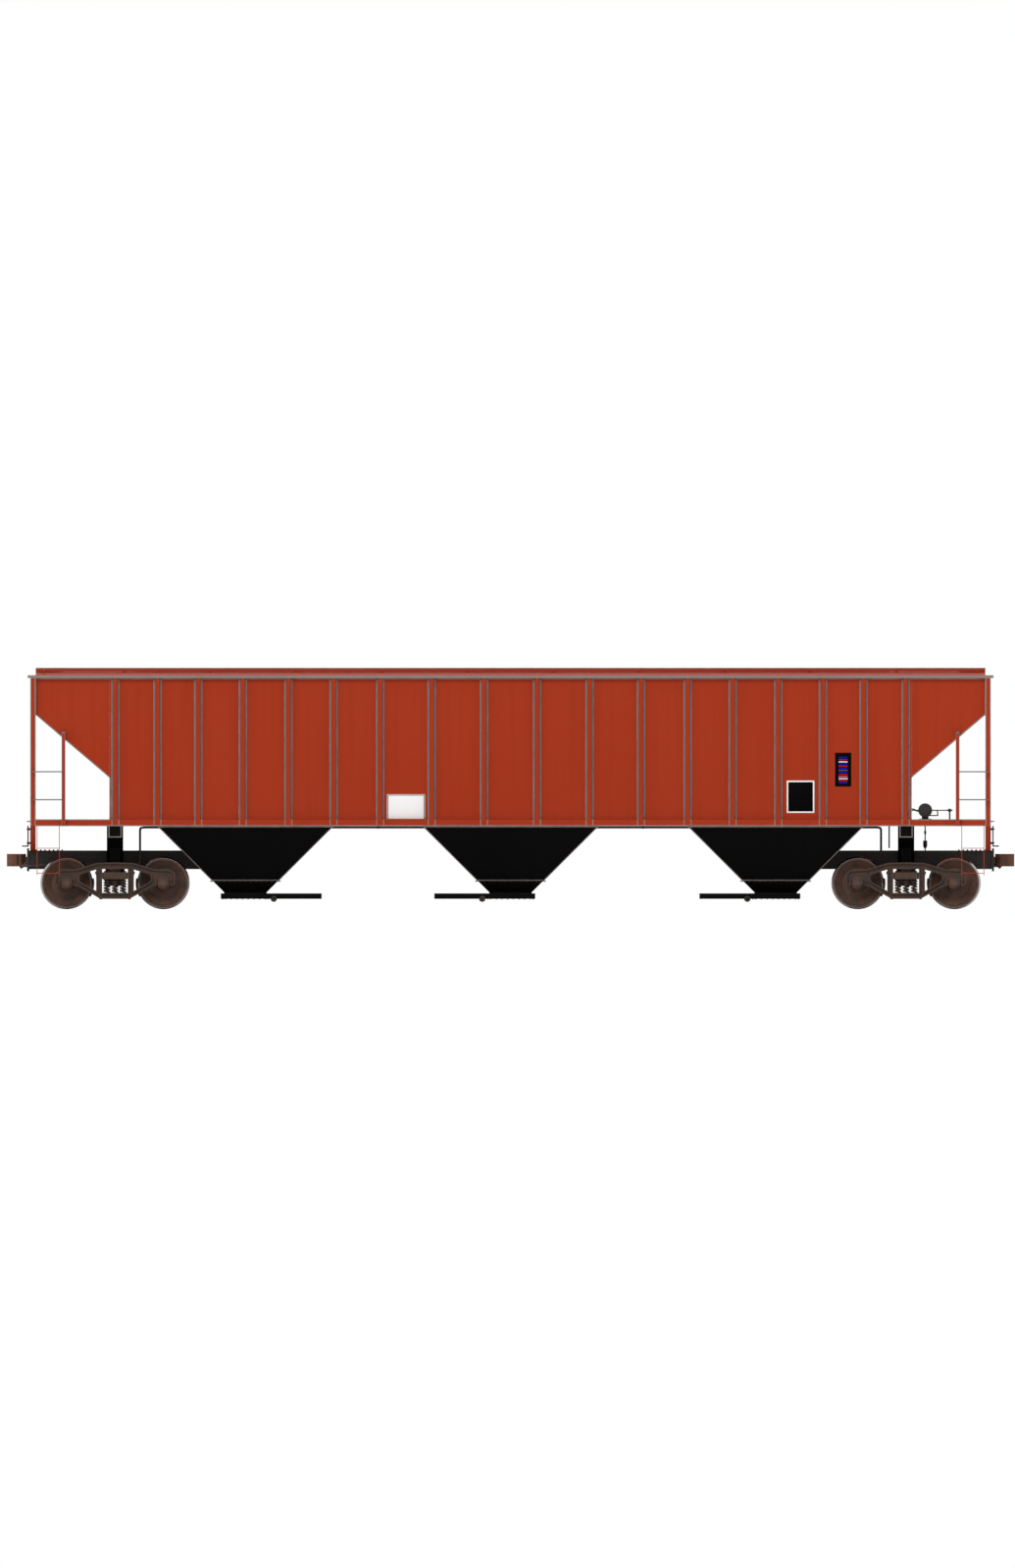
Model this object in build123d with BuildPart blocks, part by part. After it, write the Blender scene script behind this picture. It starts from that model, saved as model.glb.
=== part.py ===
# Three-bay covered hopper car for grain, on two four-wheel trucks, with a trough hatch along the roof.
# Millimetres; +X runs along the car, +Y is its left side, +Z is up.
# The origin is under the middle of the car, level with the lowest points of the wheel flanges.
import os
from math import acos, atan2, cos, degrees, hypot, pi, radians, sin, sqrt, tan

from build123d import *

os.makedirs("parts", exist_ok=True)

# General steel sizes and clearances
sheet = 6.0  # side, slope and hopper sheets
steel = 8.0  # rolled and pressed sections
seam_gap = 0.5  # between sheets that are welded edge to edge
seat_gap = 0.3  # between a moving piece and what carries it
clearance = 5.0  # between a moving piece and anything else
overrun = 50.0  # how far a cutting shape reaches past what it cuts

# Body along the car
hopper_pitch = 4866.0
hopper_depth = 1003.0  # below the side sill, with 45 degree slopes
throat_length = 1206.0
throat_width = 1206.0
low_slope_run = 892.0  # end slope sheet, the part that goes on from the hopper at 45 degrees
high_slope_run = 1351.0
high_slope_rise = 1151.0
corner_post_width = 100.0
eave_overhang = 50.0
pulling_reach = 360.0  # from the corner posts to the coupler's pulling face
truck_setback = 1555.0  # from the corner posts back to the truck's centre

# Body up the car: heights over the rail
sill_height = 1500.0
sill_depth = 126.0
eave_height = 4272.0
eave_depth = 54.0
roof_rise = 65.0
walk_height = 4407.0

# Body across the car
inside_width = 2810.0
post_depth = 89.0
roof_overhang = 55.0  # past the inside faces of the side sheets
extreme_width = 3251.0

# Wheels and track
wheel_radius = 457.0
flange_depth = 25.0
gauge_line = 680.0  # inner face of the rim, from the middle of the track
rim_width = 145.0
wheelbase = 1778.0
journal_spread = 1003.0  # middle of the bearing, from the middle of the track
centre_plate_height = 654.0
coupler_height = 876.0


def over_rail(height):
    return flange_depth + height


# Places that follow from the driving sizes
hopper_length = throat_length + 2 * hopper_depth
hopper_end_x = hopper_pitch + hopper_length / 2
knee_x = hopper_end_x + low_slope_run
end_wall_x = knee_x + high_slope_run
body_end_x = end_wall_x + corner_post_width
eave_end_x = body_end_x + eave_overhang
pulling_x = body_end_x + pulling_reach
truck_x = body_end_x - truck_setback
divider_x = hopper_pitch / 2

sill_z = over_rail(sill_height)
sill_top_z = sill_z + sill_depth
eave_z = over_rail(eave_height)
eave_under_z = eave_z - eave_depth
walk_z = over_rail(walk_height)
throat_z = sill_z - hopper_depth
knee_z = sill_z + low_slope_run
wheel_z = over_rail(wheel_radius)

inner_y = inside_width / 2
skin_y = inner_y + sheet
body_y = skin_y + post_depth

slope_gradient = high_slope_rise / high_slope_run
slope_thickness = sheet * sqrt(2)  # a 45 degree sheet, measured level or upright

# Trough hatch: its coaming stands through the roof, under the covers
trough_half = 330.0
coaming_plate = 10.0
coaming_depth = 70.0
cover_depth = 34.0
trough_edge = trough_half + coaming_plate
coaming_z = walk_z - cover_depth - seat_gap
coaming_foot_z = coaming_z - coaming_depth

# Roof arc: its radius follows from its rise over its width
roof_half = inner_y + roof_overhang
roof_radius = (roof_half**2 + roof_rise**2) / (2 * roof_rise)
roof_centre_z = eave_z + roof_rise - roof_radius


def roof_z(y, lift=0):
    return roof_centre_z + sqrt((roof_radius + lift) ** 2 - y**2)


def write(piece, name):
    piece.part.label = name
    export_step(piece.part, f"parts/{name}.step")


def crosswise(y):
    # Upright plane along the car at y; a negative extrusion goes towards +Y
    return Plane.XZ.offset(-y)


def endwise(x):
    # Upright plane across the car at x; its own x runs along +Y
    return Plane.YZ.offset(x)


def polygon(points, mode=Mode.ADD):
    # An outline whose points are places on its plane, not moved to its middle
    Polygon(*points, align=None, mode=mode)


# Side sheets: a long middle panel and two end panels with the slanted cut of the end slopes
side_top_z = eave_z - steel
panel_end_z = knee_z + slope_gradient * (body_end_x - knee_x)

with BuildPart() as left_side_sheets:
    with BuildSketch(crosswise(inner_y)):
        polygon(
            [
                (knee_x + seam_gap, knee_z + slope_gradient * seam_gap),
                (body_end_x, panel_end_z),
                (body_end_x, side_top_z),
                (knee_x + seam_gap, side_top_z),
            ]
        )
    extrude(amount=-sheet)
    mirror(about=Plane.YZ)
    with BuildSketch(crosswise(inner_y)):
        polygon([(-knee_x, sill_z), (knee_x, sill_z), (knee_x, side_top_z), (-knee_x, side_top_z)])
    extrude(amount=-sheet)
write(left_side_sheets, "left_side_sheets")

with BuildPart() as right_side_sheets:
    mirror(left_side_sheets.part, about=Plane.XZ)
write(right_side_sheets, "right_side_sheets")

# Side posts: hat sections pressed from plate, with their flanges on the side sheet
post_width = 108.0
post_foot = 88.0  # across the webs where they leave the flanges
post_crown = 70.0
post_steel = 6.0
post_place_shares = (0.0551, 0.1644, 0.2716, 0.3686, 0.4625, 0.5575, 0.6504, 0.7351, 0.8229)

with BuildPart() as side_posts:
    with BuildSketch(Plane.XY.offset(sill_top_z)):
        with Locations([(share * body_end_x, skin_y) for share in post_place_shares]):
            polygon(
                [
                    (-post_width / 2, 0),
                    (-post_width / 2, post_steel),
                    (-post_foot / 2, post_steel),
                    (-post_crown / 2, post_depth),
                    (post_crown / 2, post_depth),
                    (post_foot / 2, post_steel),
                    (post_width / 2, post_steel),
                    (post_width / 2, 0),
                    (post_foot / 2 - post_steel, 0),
                    (post_crown / 2 - post_steel, post_depth - post_steel),
                    (post_steel - post_crown / 2, post_depth - post_steel),
                    (post_steel - post_foot / 2, 0),
                ]
            )
    extrude(amount=eave_under_z - sill_top_z)
    mirror(about=Plane.YZ)
    mirror(about=Plane.XZ)
write(side_posts, "side_posts")

# Side sills and eave bars: channels that open inwards on the side sheets
with BuildPart() as side_sills:
    with BuildSketch(endwise(-body_end_x)):
        polygon(
            [
                (skin_y, sill_z),
                (body_y, sill_z),
                (body_y, sill_top_z),
                (skin_y, sill_top_z),
                (skin_y, sill_top_z - steel),
                (body_y - steel, sill_top_z - steel),
                (body_y - steel, sill_z + steel),
                (skin_y, sill_z + steel),
            ]
        )
    extrude(amount=2 * body_end_x)
    mirror(about=Plane.XZ)
write(side_sills, "side_sills")

with BuildPart() as eave_bars:
    with BuildSketch(endwise(-eave_end_x)):
        polygon(
            [
                (skin_y, eave_under_z),
                (body_y, eave_under_z),
                (body_y, eave_z),
                (inner_y, eave_z),
                (inner_y, side_top_z),
                (body_y - steel, side_top_z),
                (body_y - steel, eave_under_z + steel),
                (skin_y, eave_under_z + steel),
            ]
        )
    extrude(amount=2 * eave_end_x)
    mirror(about=Plane.XZ)
write(eave_bars, "eave_bars")

# End posts: four corner posts on the side sills and four between them on the end sills
end_post_spread = 480.0

with BuildPart() as end_posts:
    with BuildSketch(Plane.XY.offset(sill_top_z)):
        polygon(
            [
                (end_wall_x, skin_y),
                (end_wall_x + steel, skin_y),
                (end_wall_x + steel, body_y - steel),
                (body_end_x - steel, body_y - steel),
                (body_end_x - steel, skin_y),
                (body_end_x, skin_y),
                (body_end_x, body_y),
                (end_wall_x, body_y),
            ]
        )
    with BuildSketch(Plane.XY.offset(sill_top_z)):
        polygon(
            [
                (end_wall_x, end_post_spread - corner_post_width / 2),
                (body_end_x, end_post_spread - corner_post_width / 2),
                (body_end_x, end_post_spread + corner_post_width / 2),
                (end_wall_x, end_post_spread + corner_post_width / 2),
                (end_wall_x, end_post_spread + corner_post_width / 2 - steel),
                (body_end_x - steel, end_post_spread + corner_post_width / 2 - steel),
                (body_end_x - steel, end_post_spread - corner_post_width / 2 + steel),
                (end_wall_x, end_post_spread - corner_post_width / 2 + steel),
            ]
        )
    extrude(amount=eave_under_z - sill_top_z)
    mirror(about=Plane.XZ)
    mirror(about=Plane.YZ)
write(end_posts, "end_posts")

# End walls: a flat sheet under the roof's arc, with a ledge across the end over the posts
wall_foot_z = knee_z + high_slope_rise - 2 * sheet


def wall_outline(foot_z):
    # A sheet right across the inside, from its foot up to the roof's arc
    with BuildLine() as outline:
        Polyline(
            (-inner_y, roof_z(inner_y)),
            (-inner_y, foot_z),
            (inner_y, foot_z),
            (inner_y, roof_z(inner_y)),
        )
        ThreePointArc((inner_y, roof_z(inner_y)), (0, roof_z(0)), (-inner_y, roof_z(inner_y)))
    make_face(outline.edges())


with BuildPart() as end_walls:
    with BuildSketch(endwise(end_wall_x - sheet)):
        wall_outline(wall_foot_z)
    extrude(amount=sheet)
    with BuildSketch(crosswise(-inner_y)):
        polygon(
            [
                (end_wall_x, eave_z - steel),
                (eave_end_x - steel, eave_z - steel),
                (eave_end_x - steel, eave_under_z),
                (eave_end_x, eave_under_z),
                (eave_end_x, eave_z),
                (end_wall_x, eave_z),
            ]
        )
    extrude(amount=-inside_width)
    with BuildSketch(crosswise(-inner_y)):
        polygon(
            [
                (end_wall_x, eave_under_z),
                (eave_end_x - steel, eave_under_z),
                (eave_end_x - steel, eave_under_z + steel),
                (end_wall_x, eave_under_z + steel),
            ]
        )
    extrude(amount=-inside_width)
    mirror(about=Plane.YZ)
write(end_walls, "end_walls")

# End slope sheets: from the end hopper's edge up to the end wall, with a slight bend at the knee
wall_slope_z = knee_z + slope_gradient * (end_wall_x - sheet - knee_x)

with BuildPart() as end_slope_sheets:
    with BuildSketch(crosswise(-inner_y)):
        polygon(
            [
                (hopper_end_x - slope_thickness, sill_z),
                (hopper_end_x, sill_z),
                (knee_x, knee_z),
                (end_wall_x - sheet, wall_slope_z),
                (end_wall_x - sheet, wall_slope_z + slope_thickness),
                (knee_x, knee_z + slope_thickness),
            ]
        )
    extrude(amount=-inside_width)
    mirror(about=Plane.YZ)
write(end_slope_sheets, "end_slope_sheets")

# Bay dividers and the ridge sheets that lead down from them to the hoppers
ridge_run = divider_x - sheet / 2 - hopper_length / 2

with BuildPart() as ridge_sheets:
    with BuildSketch(crosswise(-inner_y)):
        polygon(
            [
                (hopper_length / 2 - slope_thickness, sill_z),
                (hopper_length / 2, sill_z),
                (divider_x - sheet / 2, sill_z + ridge_run),
                (divider_x - sheet / 2, sill_z + ridge_run + slope_thickness),
            ]
        )
    extrude(amount=-inside_width)
    mirror(about=Plane.YZ.offset(divider_x))
    mirror(about=Plane.YZ)
write(ridge_sheets, "ridge_sheets")

with BuildPart() as bay_dividers:
    with BuildSketch(endwise(divider_x - sheet / 2)):
        wall_outline(sill_z + ridge_run)
        with Locations((0, coaming_foot_z + overrun)):
            Rectangle(2 * trough_edge, 2 * overrun, mode=Mode.SUBTRACT)
    extrude(amount=sheet)
    mirror(about=Plane.YZ)
write(bay_dividers, "bay_dividers")

# Hoppers: each a four-sided funnel of separate sheets, mitred at its corners
hopper_side_run = skin_y - throat_width / 2
mitre_run = hypot(hopper_side_run, hopper_depth)  # a corner's length, seen from above
hopper_side_thickness = sheet * mitre_run / hopper_depth
mitre_angle = degrees(atan2(hopper_side_run, hopper_depth))

with BuildPart() as hopper:
    with BuildSketch(Plane.XY.offset(sill_z)):
        Rectangle(hopper_length, 2 * skin_y)
    with BuildSketch(Plane.XY.offset(throat_z)):
        Rectangle(throat_length, throat_width)
    loft(ruled=True)
    with BuildSketch(Plane.XY.offset(sill_z)):
        Rectangle(hopper_length - 2 * slope_thickness, 2 * (skin_y - hopper_side_thickness))
    with BuildSketch(Plane.XY.offset(throat_z)):
        Rectangle(throat_length - 2 * slope_thickness, throat_width - 2 * hopper_side_thickness)
    loft(ruled=True, mode=Mode.SUBTRACT)
    for turn in (1, -1):
        with BuildSketch(Plane.XY.offset(sill_z)):
            for end in (1, -1):
                with Locations(
                    (
                        end * (hopper_length + throat_length) / 4,
                        turn * end * (skin_y + throat_width / 2) / 2,
                    )
                ):
                    Rectangle(mitre_run + overrun, seam_gap, rotation=turn * mitre_angle)
        extrude(amount=-hopper_depth, mode=Mode.SUBTRACT)
with BuildPart() as hopper_sheets:
    with Locations((-hopper_pitch, 0, 0), (0, 0, 0), (hopper_pitch, 0, 0)):
        add(hopper.part)
write(hopper_sheets, "hopper_sheets")

# Outlets: a heavy funnel bolted under each hopper, down to a square neck over the gate
outlet_plate = 10.0
outlet_opening = 762.0
outlet_flange_width = 50.0
outlet_flange = 12.0
gate_plate = 13.0
gate_height = 237.0  # underside of the gate over the rail
gate_z = over_rail(gate_height)
gate_top_z = gate_z + gate_plate
neck_foot_z = gate_top_z + seat_gap
outlet_neck = outlet_opening + 2 * outlet_plate
outlet_lean = outlet_plate * sqrt(2)
neck_top_z = throat_z - (throat_length - outlet_neck) / 2
outlet_mitre_run = hypot(throat_length - outlet_neck, throat_width - outlet_neck) / 2
outlet_mitre_angle = degrees(atan2(throat_width - outlet_neck, throat_length - outlet_neck))

with BuildPart() as outlet:
    with BuildSketch(Plane.XY.offset(throat_z)):
        Rectangle(throat_length, throat_width)
    with BuildSketch(Plane.XY.offset(neck_top_z)):
        Rectangle(outlet_neck, outlet_neck)
    loft(ruled=True)
    with BuildSketch(Plane.XY.offset(neck_foot_z)):
        Rectangle(outlet_neck, outlet_neck)
    extrude(amount=neck_top_z - neck_foot_z)
    with BuildSketch(Plane.XY.offset(throat_z)):
        Rectangle(throat_length + 2 * outlet_flange_width, throat_width + 2 * outlet_flange_width)
    extrude(amount=-outlet_flange)
    with BuildSketch(Plane.XY.offset(throat_z)):
        Rectangle(throat_length - 2 * outlet_lean, throat_width - 2 * outlet_lean)
    with BuildSketch(Plane.XY.offset(neck_top_z)):
        Rectangle(outlet_opening, outlet_opening)
    loft(ruled=True, mode=Mode.SUBTRACT)
    with BuildSketch(Plane.XY.offset(neck_foot_z)):
        Rectangle(outlet_opening, outlet_opening)
    extrude(amount=neck_top_z - neck_foot_z, mode=Mode.SUBTRACT)
    for turn in (1, -1):
        with BuildSketch(Plane.XY.offset(throat_z)):
            for end in (1, -1):
                with Locations(
                    (
                        end * (throat_length + outlet_neck) / 4,
                        turn * end * (throat_width + outlet_neck) / 4,
                    )
                ):
                    Rectangle(outlet_mitre_run + 4 * overrun, seam_gap, rotation=turn * outlet_mitre_angle)
        extrude(amount=neck_foot_z - throat_z, mode=Mode.SUBTRACT)
with BuildPart() as outlet_funnels:
    with Locations((-hopper_pitch, 0, 0), (0, 0, 0), (hopper_pitch, 0, 0)):
        add(outlet.part)
write(outlet_funnels, "outlet_funnels")

# Rack and pinion that drive each gate
gear_module = 8.0
pinion_teeth = 12
pressure_angle = radians(25)
backlash = 0.6
rack_back = 10.0
rack_width = 40.0
rack_spread = 475.0  # middle of each rack, from the middle of the car
shaft_radius = 24.0
shaft_half = 760.0
bearing_gap = 0.1
drive_offset = 520.0  # pinion shaft from the middle of the outlet
gate_travel = 780.0
gate_lead = 395.0  # the gate's closing edge, from the middle of the outlet
gate_tail = 600.0
gate_half = 520.0
tooth_pitch = pi * gear_module
pitch_radius = gear_module * pinion_teeth / 2
base_radius = pitch_radius * cos(pressure_angle)
addendum = gear_module
dedendum = 1.25 * gear_module
rack_root_z = gate_z - rack_back
rack_pitch_z = rack_root_z - dedendum
shaft_z = rack_pitch_z - pitch_radius


def involute(angle):
    return tan(angle) - angle


def tooth_half_angle(radius):
    # Half the tooth's thickness at a radius, as an angle at the shaft
    half_pitch_tooth = pi / (2 * pinion_teeth) - backlash / (4 * pitch_radius)
    return half_pitch_tooth + involute(pressure_angle) - involute(acos(min(1, base_radius / radius)))


def pinion_outline():
    # Each tooth rises along one involute flank and falls along the other, from root to tip and back
    rising = (pitch_radius - dedendum, base_radius, pitch_radius, pitch_radius + addendum)
    points = []
    for tooth in range(pinion_teeth):
        middle = pi / 2 + 2 * pi * tooth / pinion_teeth
        for side, flank in ((-1, rising), (1, reversed(rising))):
            for radius in flank:
                angle = middle + side * tooth_half_angle(max(radius, base_radius))
                points.append((radius * cos(angle), radius * sin(angle)))
    return points


def rack_outline(start_x, end_x):
    # The rack hangs under the gate; a tooth space lies over the pinion at the closed gate
    tip_half = (tooth_pitch - backlash) / 4 - addendum * tan(pressure_angle)
    root_half = (tooth_pitch - backlash) / 4 + dedendum * tan(pressure_angle)
    points = [(start_x, gate_z), (start_x, rack_root_z)]
    first = int((start_x + drive_offset) // tooth_pitch) + 1
    last = int((end_x + drive_offset) // tooth_pitch)
    for space in range(first, last):
        middle = -drive_offset + (space + 1 / 2) * tooth_pitch
        points += [
            (middle - root_half, rack_root_z),
            (middle - tip_half, rack_pitch_z - addendum),
            (middle + tip_half, rack_pitch_z - addendum),
            (middle + root_half, rack_root_z),
        ]
    return points + [(end_x, rack_root_z), (end_x, gate_z)]


with BuildPart() as gate:
    with BuildSketch(Plane.XY.offset(gate_z)):
        with Locations(((gate_lead - gate_tail) / 2, 0)):
            Rectangle(gate_lead + gate_tail, 2 * gate_half)
    extrude(amount=gate_plate)
    for side in (1, -1):
        with BuildSketch(crosswise(side * rack_spread - rack_width / 2)):
            polygon(rack_outline(-gate_tail, gate_travel - drive_offset + 2 * tooth_pitch))
        extrude(amount=-rack_width)

capstan_radius = 50.0
capstan_length = 70.0
socket_size = 38.0
socket_depth = 50.0

with BuildPart() as drive_shaft:
    with BuildSketch(crosswise(-shaft_half)):
        with Locations((-drive_offset, shaft_z)):
            Circle(shaft_radius)
    extrude(amount=-2 * shaft_half)
    for side in (1, -1):
        with BuildSketch(crosswise(side * rack_spread - rack_width / 2)):
            with Locations((-drive_offset, shaft_z)):
                polygon(pinion_outline())
        extrude(amount=-rack_width)
        with BuildSketch(crosswise(side * shaft_half)):
            with Locations((-drive_offset, shaft_z)):
                Circle(capstan_radius)
        extrude(amount=side * capstan_length)
        with BuildSketch(crosswise(side * shaft_half)):
            with Locations((-drive_offset, shaft_z)):
                Rectangle(socket_size, socket_size)
        extrude(amount=side * socket_depth, mode=Mode.SUBTRACT)

# The gate runs in channels that also carry its shaft
rail_inner = gate_half - 4 * clearance
rail_web = gate_half + 8 * clearance
rail_steel = 12.0
rail_start = -(gate_tail + gate_travel + 4 * clearance)
rail_setback = 150.0  # from the throat's edge to the rails' closed end
rail_end = throat_length / 2 - rail_setback
rail_edge = rail_web + rail_steel
boot_height = 165.0  # underside of the boot ring over the rail
boot_z = over_rail(boot_height)
bearing_lug = 60.0

with BuildPart() as gate_rail:
    with BuildSketch(crosswise(rail_web)):
        polygon(
            [
                (rail_start, boot_z),
                (rail_end, boot_z),
                (rail_end, gate_top_z + clearance),
                (rail_start, gate_top_z + clearance),
            ]
        )
        with Locations((-drive_offset, shaft_z)):
            Circle(bearing_lug)
            Circle(shaft_radius + bearing_gap, mode=Mode.SUBTRACT)
    extrude(amount=-rail_steel)
    for low_z, inside_y, from_x in (
        (gate_z - seat_gap - rail_steel, rail_inner, rail_start),
        (gate_top_z + clearance, rail_inner, rail_start),
        (gate_top_z + clearance, outlet_neck / 2, -outlet_neck / 2),
    ):
        with BuildSketch(Plane.XY.offset(low_z)):
            polygon([(from_x, inside_y), (rail_end, inside_y), (rail_end, rail_edge), (from_x, rail_edge)])
        extrude(amount=rail_steel)
    with BuildSketch(crosswise(rail_web - overrun)):
        with Locations((-drive_offset, shaft_z)):
            Circle(shaft_radius + bearing_gap)
    extrude(amount=-2 * overrun, mode=Mode.SUBTRACT)
    mirror(about=Plane.XZ)

# The boot ring under the gate: side bars between two cross bars, and a tie at the far end of the rails
boot_bar = 50.0
boot_inner = outlet_opening / 2 + 2 * clearance
boot_top_z = gate_z - clearance
cross_bar_top_z = rack_pitch_z - addendum - 2 * clearance

with BuildPart() as boot_ring:
    with BuildSketch(endwise(boot_inner)):
        polygon(
            [
                (-rail_web, boot_z),
                (rail_web, boot_z),
                (rail_web, cross_bar_top_z),
                (boot_inner + boot_bar, cross_bar_top_z),
                (boot_inner + boot_bar, boot_top_z),
                (-boot_inner - boot_bar, boot_top_z),
                (-boot_inner - boot_bar, cross_bar_top_z),
                (-rail_web, cross_bar_top_z),
            ]
        )
    extrude(amount=boot_bar)
    mirror(about=Plane.YZ)
    with BuildSketch(Plane.XY.offset(boot_z)):
        with Locations((0, boot_inner + boot_bar / 2), (0, -boot_inner - boot_bar / 2)):
            Rectangle(2 * (boot_inner - seam_gap), boot_bar)
    extrude(amount=boot_top_z - boot_z)
    with BuildSketch(endwise(rail_start)):
        with Locations((0, (boot_z + cross_bar_top_z) / 2)):
            Rectangle(2 * rail_web, cross_bar_top_z - boot_z)
    extrude(amount=boot_bar)

# Each outlet's number, its place along the car, and 1 if its gate closes towards the +X end or -1 if not
outlets = ((1, -hopper_pitch, -1), (2, 0, 1), (3, hopper_pitch, 1))


def turned(shape, x, facing):
    # A copy at x; facing -1 turns it end for end
    return shape.moved(Location((x, 0, 0), (0, 0, 0 if facing > 0 else 180)))


with BuildPart() as gate_rails:
    for number, x, facing in outlets:
        add(turned(gate_rail.part, x, facing))
write(gate_rails, "gate_rails")

with BuildPart() as boot_rings:
    for number, x, facing in outlets:
        add(turned(boot_ring.part, x, facing))
write(boot_rings, "boot_rings")

for number, x, facing in outlets:
    with BuildPart() as outlet_gate:
        add(turned(gate.part, x, facing))
    write(outlet_gate, f"outlet_gate_{number}")
    with BuildPart() as gate_shaft:
        add(turned(drive_shaft.part, x, facing))
    write(gate_shaft, f"gate_shaft_{number}")

# Roof: a curved sheet on each side of the trough and a closing sheet beyond each end of it
roof_sheet = 5.0
trough_setback = 1815.0  # from the end wall to the hatch's end
trough_end_x = end_wall_x - trough_setback


def roof_profile(inside_y, outside_y):
    middle_y = (inside_y + outside_y) / 2
    with BuildLine() as outline:
        ThreePointArc(
            (inside_y, roof_z(inside_y)),
            (middle_y, roof_z(middle_y)),
            (outside_y, roof_z(outside_y)),
        )
        Line((outside_y, roof_z(outside_y)), (outside_y, roof_z(outside_y, roof_sheet)))
        ThreePointArc(
            (outside_y, roof_z(outside_y, roof_sheet)),
            (middle_y, roof_z(middle_y, roof_sheet)),
            (inside_y, roof_z(inside_y, roof_sheet)),
        )
        Line((inside_y, roof_z(inside_y, roof_sheet)), (inside_y, roof_z(inside_y)))
    make_face(outline.edges())


with BuildPart() as roof_sheets:
    with BuildSketch(endwise(-end_wall_x)):
        roof_profile(trough_edge, roof_half)
    extrude(amount=2 * end_wall_x)
    mirror(about=Plane.XZ)
    with BuildSketch(endwise(trough_end_x + coaming_plate)):
        roof_profile(seam_gap - trough_edge, trough_edge - seam_gap)
    extrude(amount=end_wall_x - trough_end_x - coaming_plate)
    mirror(roof_sheets.part.solids().sort_by(Axis.X)[-1], about=Plane.YZ)
write(roof_sheets, "roof_sheets")

# Hatch coaming: angle bars round the trough, bars between the covers, and the covers' hinge ears
cover_count = 4
cover_plate = 6.0
cover_rib = 10.0
coaming_flange = 40.0
cover_bar = 40.0
cover_pitch = 2 * trough_end_x / cover_count
cover_reach = trough_edge + 2 * clearance
hinge_y = -(cover_reach + cover_depth)
hinge_z = walk_z - cover_depth / 2
hinge_pin = 8.0
hinge_hub = 14.0
lug_width = 14.0
ear_width = 10.0
hinge_shares = (-0.38, 0.0, 0.38)  # along each cover, from its middle
cover_middles = [(number + 1 / 2) * cover_pitch - trough_end_x for number in range(cover_count)]
hinge_places = [middle + share * cover_pitch for middle in cover_middles for share in hinge_shares]
ear_offset = (lug_width + ear_width) / 2 + clearance

with BuildPart() as hatch_coaming:
    with BuildSketch(endwise(-trough_end_x)):
        polygon(
            [
                (trough_half, coaming_foot_z),
                (trough_edge, coaming_foot_z),
                (trough_edge, coaming_z - steel),
                (trough_half + coaming_flange, coaming_z - steel),
                (trough_half + coaming_flange, coaming_z),
                (trough_half, coaming_z),
            ]
        )
    extrude(amount=2 * trough_end_x)
    mirror(about=Plane.XZ)
    for place in hinge_places:
        for side in (1, -1):
            with BuildSketch(endwise(place + side * ear_offset - ear_width / 2)):
                polygon(
                    [
                        (-trough_half - coaming_flange, coaming_z - steel),
                        (-trough_half - coaming_flange, coaming_z),
                        (hinge_y + hinge_hub, hinge_z + hinge_pin),
                        (hinge_y - hinge_hub, hinge_z + hinge_pin),
                        (hinge_y - hinge_hub, coaming_z - steel),
                    ]
                )
            extrude(amount=ear_width)
        with BuildSketch(endwise(place - ear_offset)):
            with Locations((hinge_y, hinge_z)):
                Circle(hinge_pin)
        extrude(amount=2 * ear_offset)
    with BuildSketch(crosswise(seam_gap - trough_half)):
        polygon(
            [
                (trough_end_x, coaming_foot_z),
                (trough_end_x + coaming_plate, coaming_foot_z),
                (trough_end_x + coaming_plate, coaming_z - steel),
                (trough_end_x + coaming_flange, coaming_z - steel),
                (trough_end_x + coaming_flange, coaming_z),
                (trough_end_x, coaming_z),
            ]
        )
    extrude(amount=-2 * (trough_half - seam_gap))
    mirror(hatch_coaming.part.solids().sort_by(Axis.X)[-1], about=Plane.YZ)
    with BuildSketch(Plane.XY.offset(coaming_z)):
        with Locations([(number * cover_pitch - trough_end_x, 0) for number in range(1, cover_count)]):
            Rectangle(cover_bar, 2 * (trough_half - seam_gap))
    extrude(amount=-cover_bar)
write(hatch_coaming, "hatch_coaming")

# Hatch covers: shallow trays upside down on the coaming, ribbed across, with lugs on the hinge pins
cover_length = cover_pitch - 2 * clearance
rib_shares = (-0.44, -0.31, -0.19, -0.06, 0.06, 0.19, 0.31, 0.44)  # along each cover, from its middle

with BuildPart() as cover:
    with BuildSketch(Plane.XY.offset(coaming_z + seat_gap)):
        Rectangle(cover_length, 2 * cover_reach)
    extrude(amount=cover_depth - cover_rib)
    with BuildSketch(Plane.XY.offset(coaming_z + seat_gap)):
        Rectangle(cover_length - 2 * cover_plate, 2 * (cover_reach - cover_plate))
    extrude(amount=cover_depth - cover_rib - cover_plate, mode=Mode.SUBTRACT)
    with BuildSketch(Plane.XY.offset(walk_z - cover_rib)):
        with Locations([(share * cover_pitch, 0) for share in rib_shares]):
            Rectangle(cover_bar, 2 * (cover_reach - cover_plate))
    extrude(amount=cover_rib)
    for share in hinge_shares:
        with BuildSketch(endwise(share * cover_pitch - lug_width / 2)):
            with Locations((hinge_y, hinge_z)):
                Circle(hinge_hub)
            polygon(
                [
                    (hinge_y, hinge_z - hinge_hub / 2),
                    (-cover_reach, hinge_z - hinge_hub / 2),
                    (-cover_reach, hinge_z + hinge_hub / 2),
                    (hinge_y, hinge_z + hinge_hub / 2),
                ]
            )
            with Locations((hinge_y, hinge_z)):
                Circle(hinge_pin + bearing_gap, mode=Mode.SUBTRACT)
        extrude(amount=lug_width)

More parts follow.
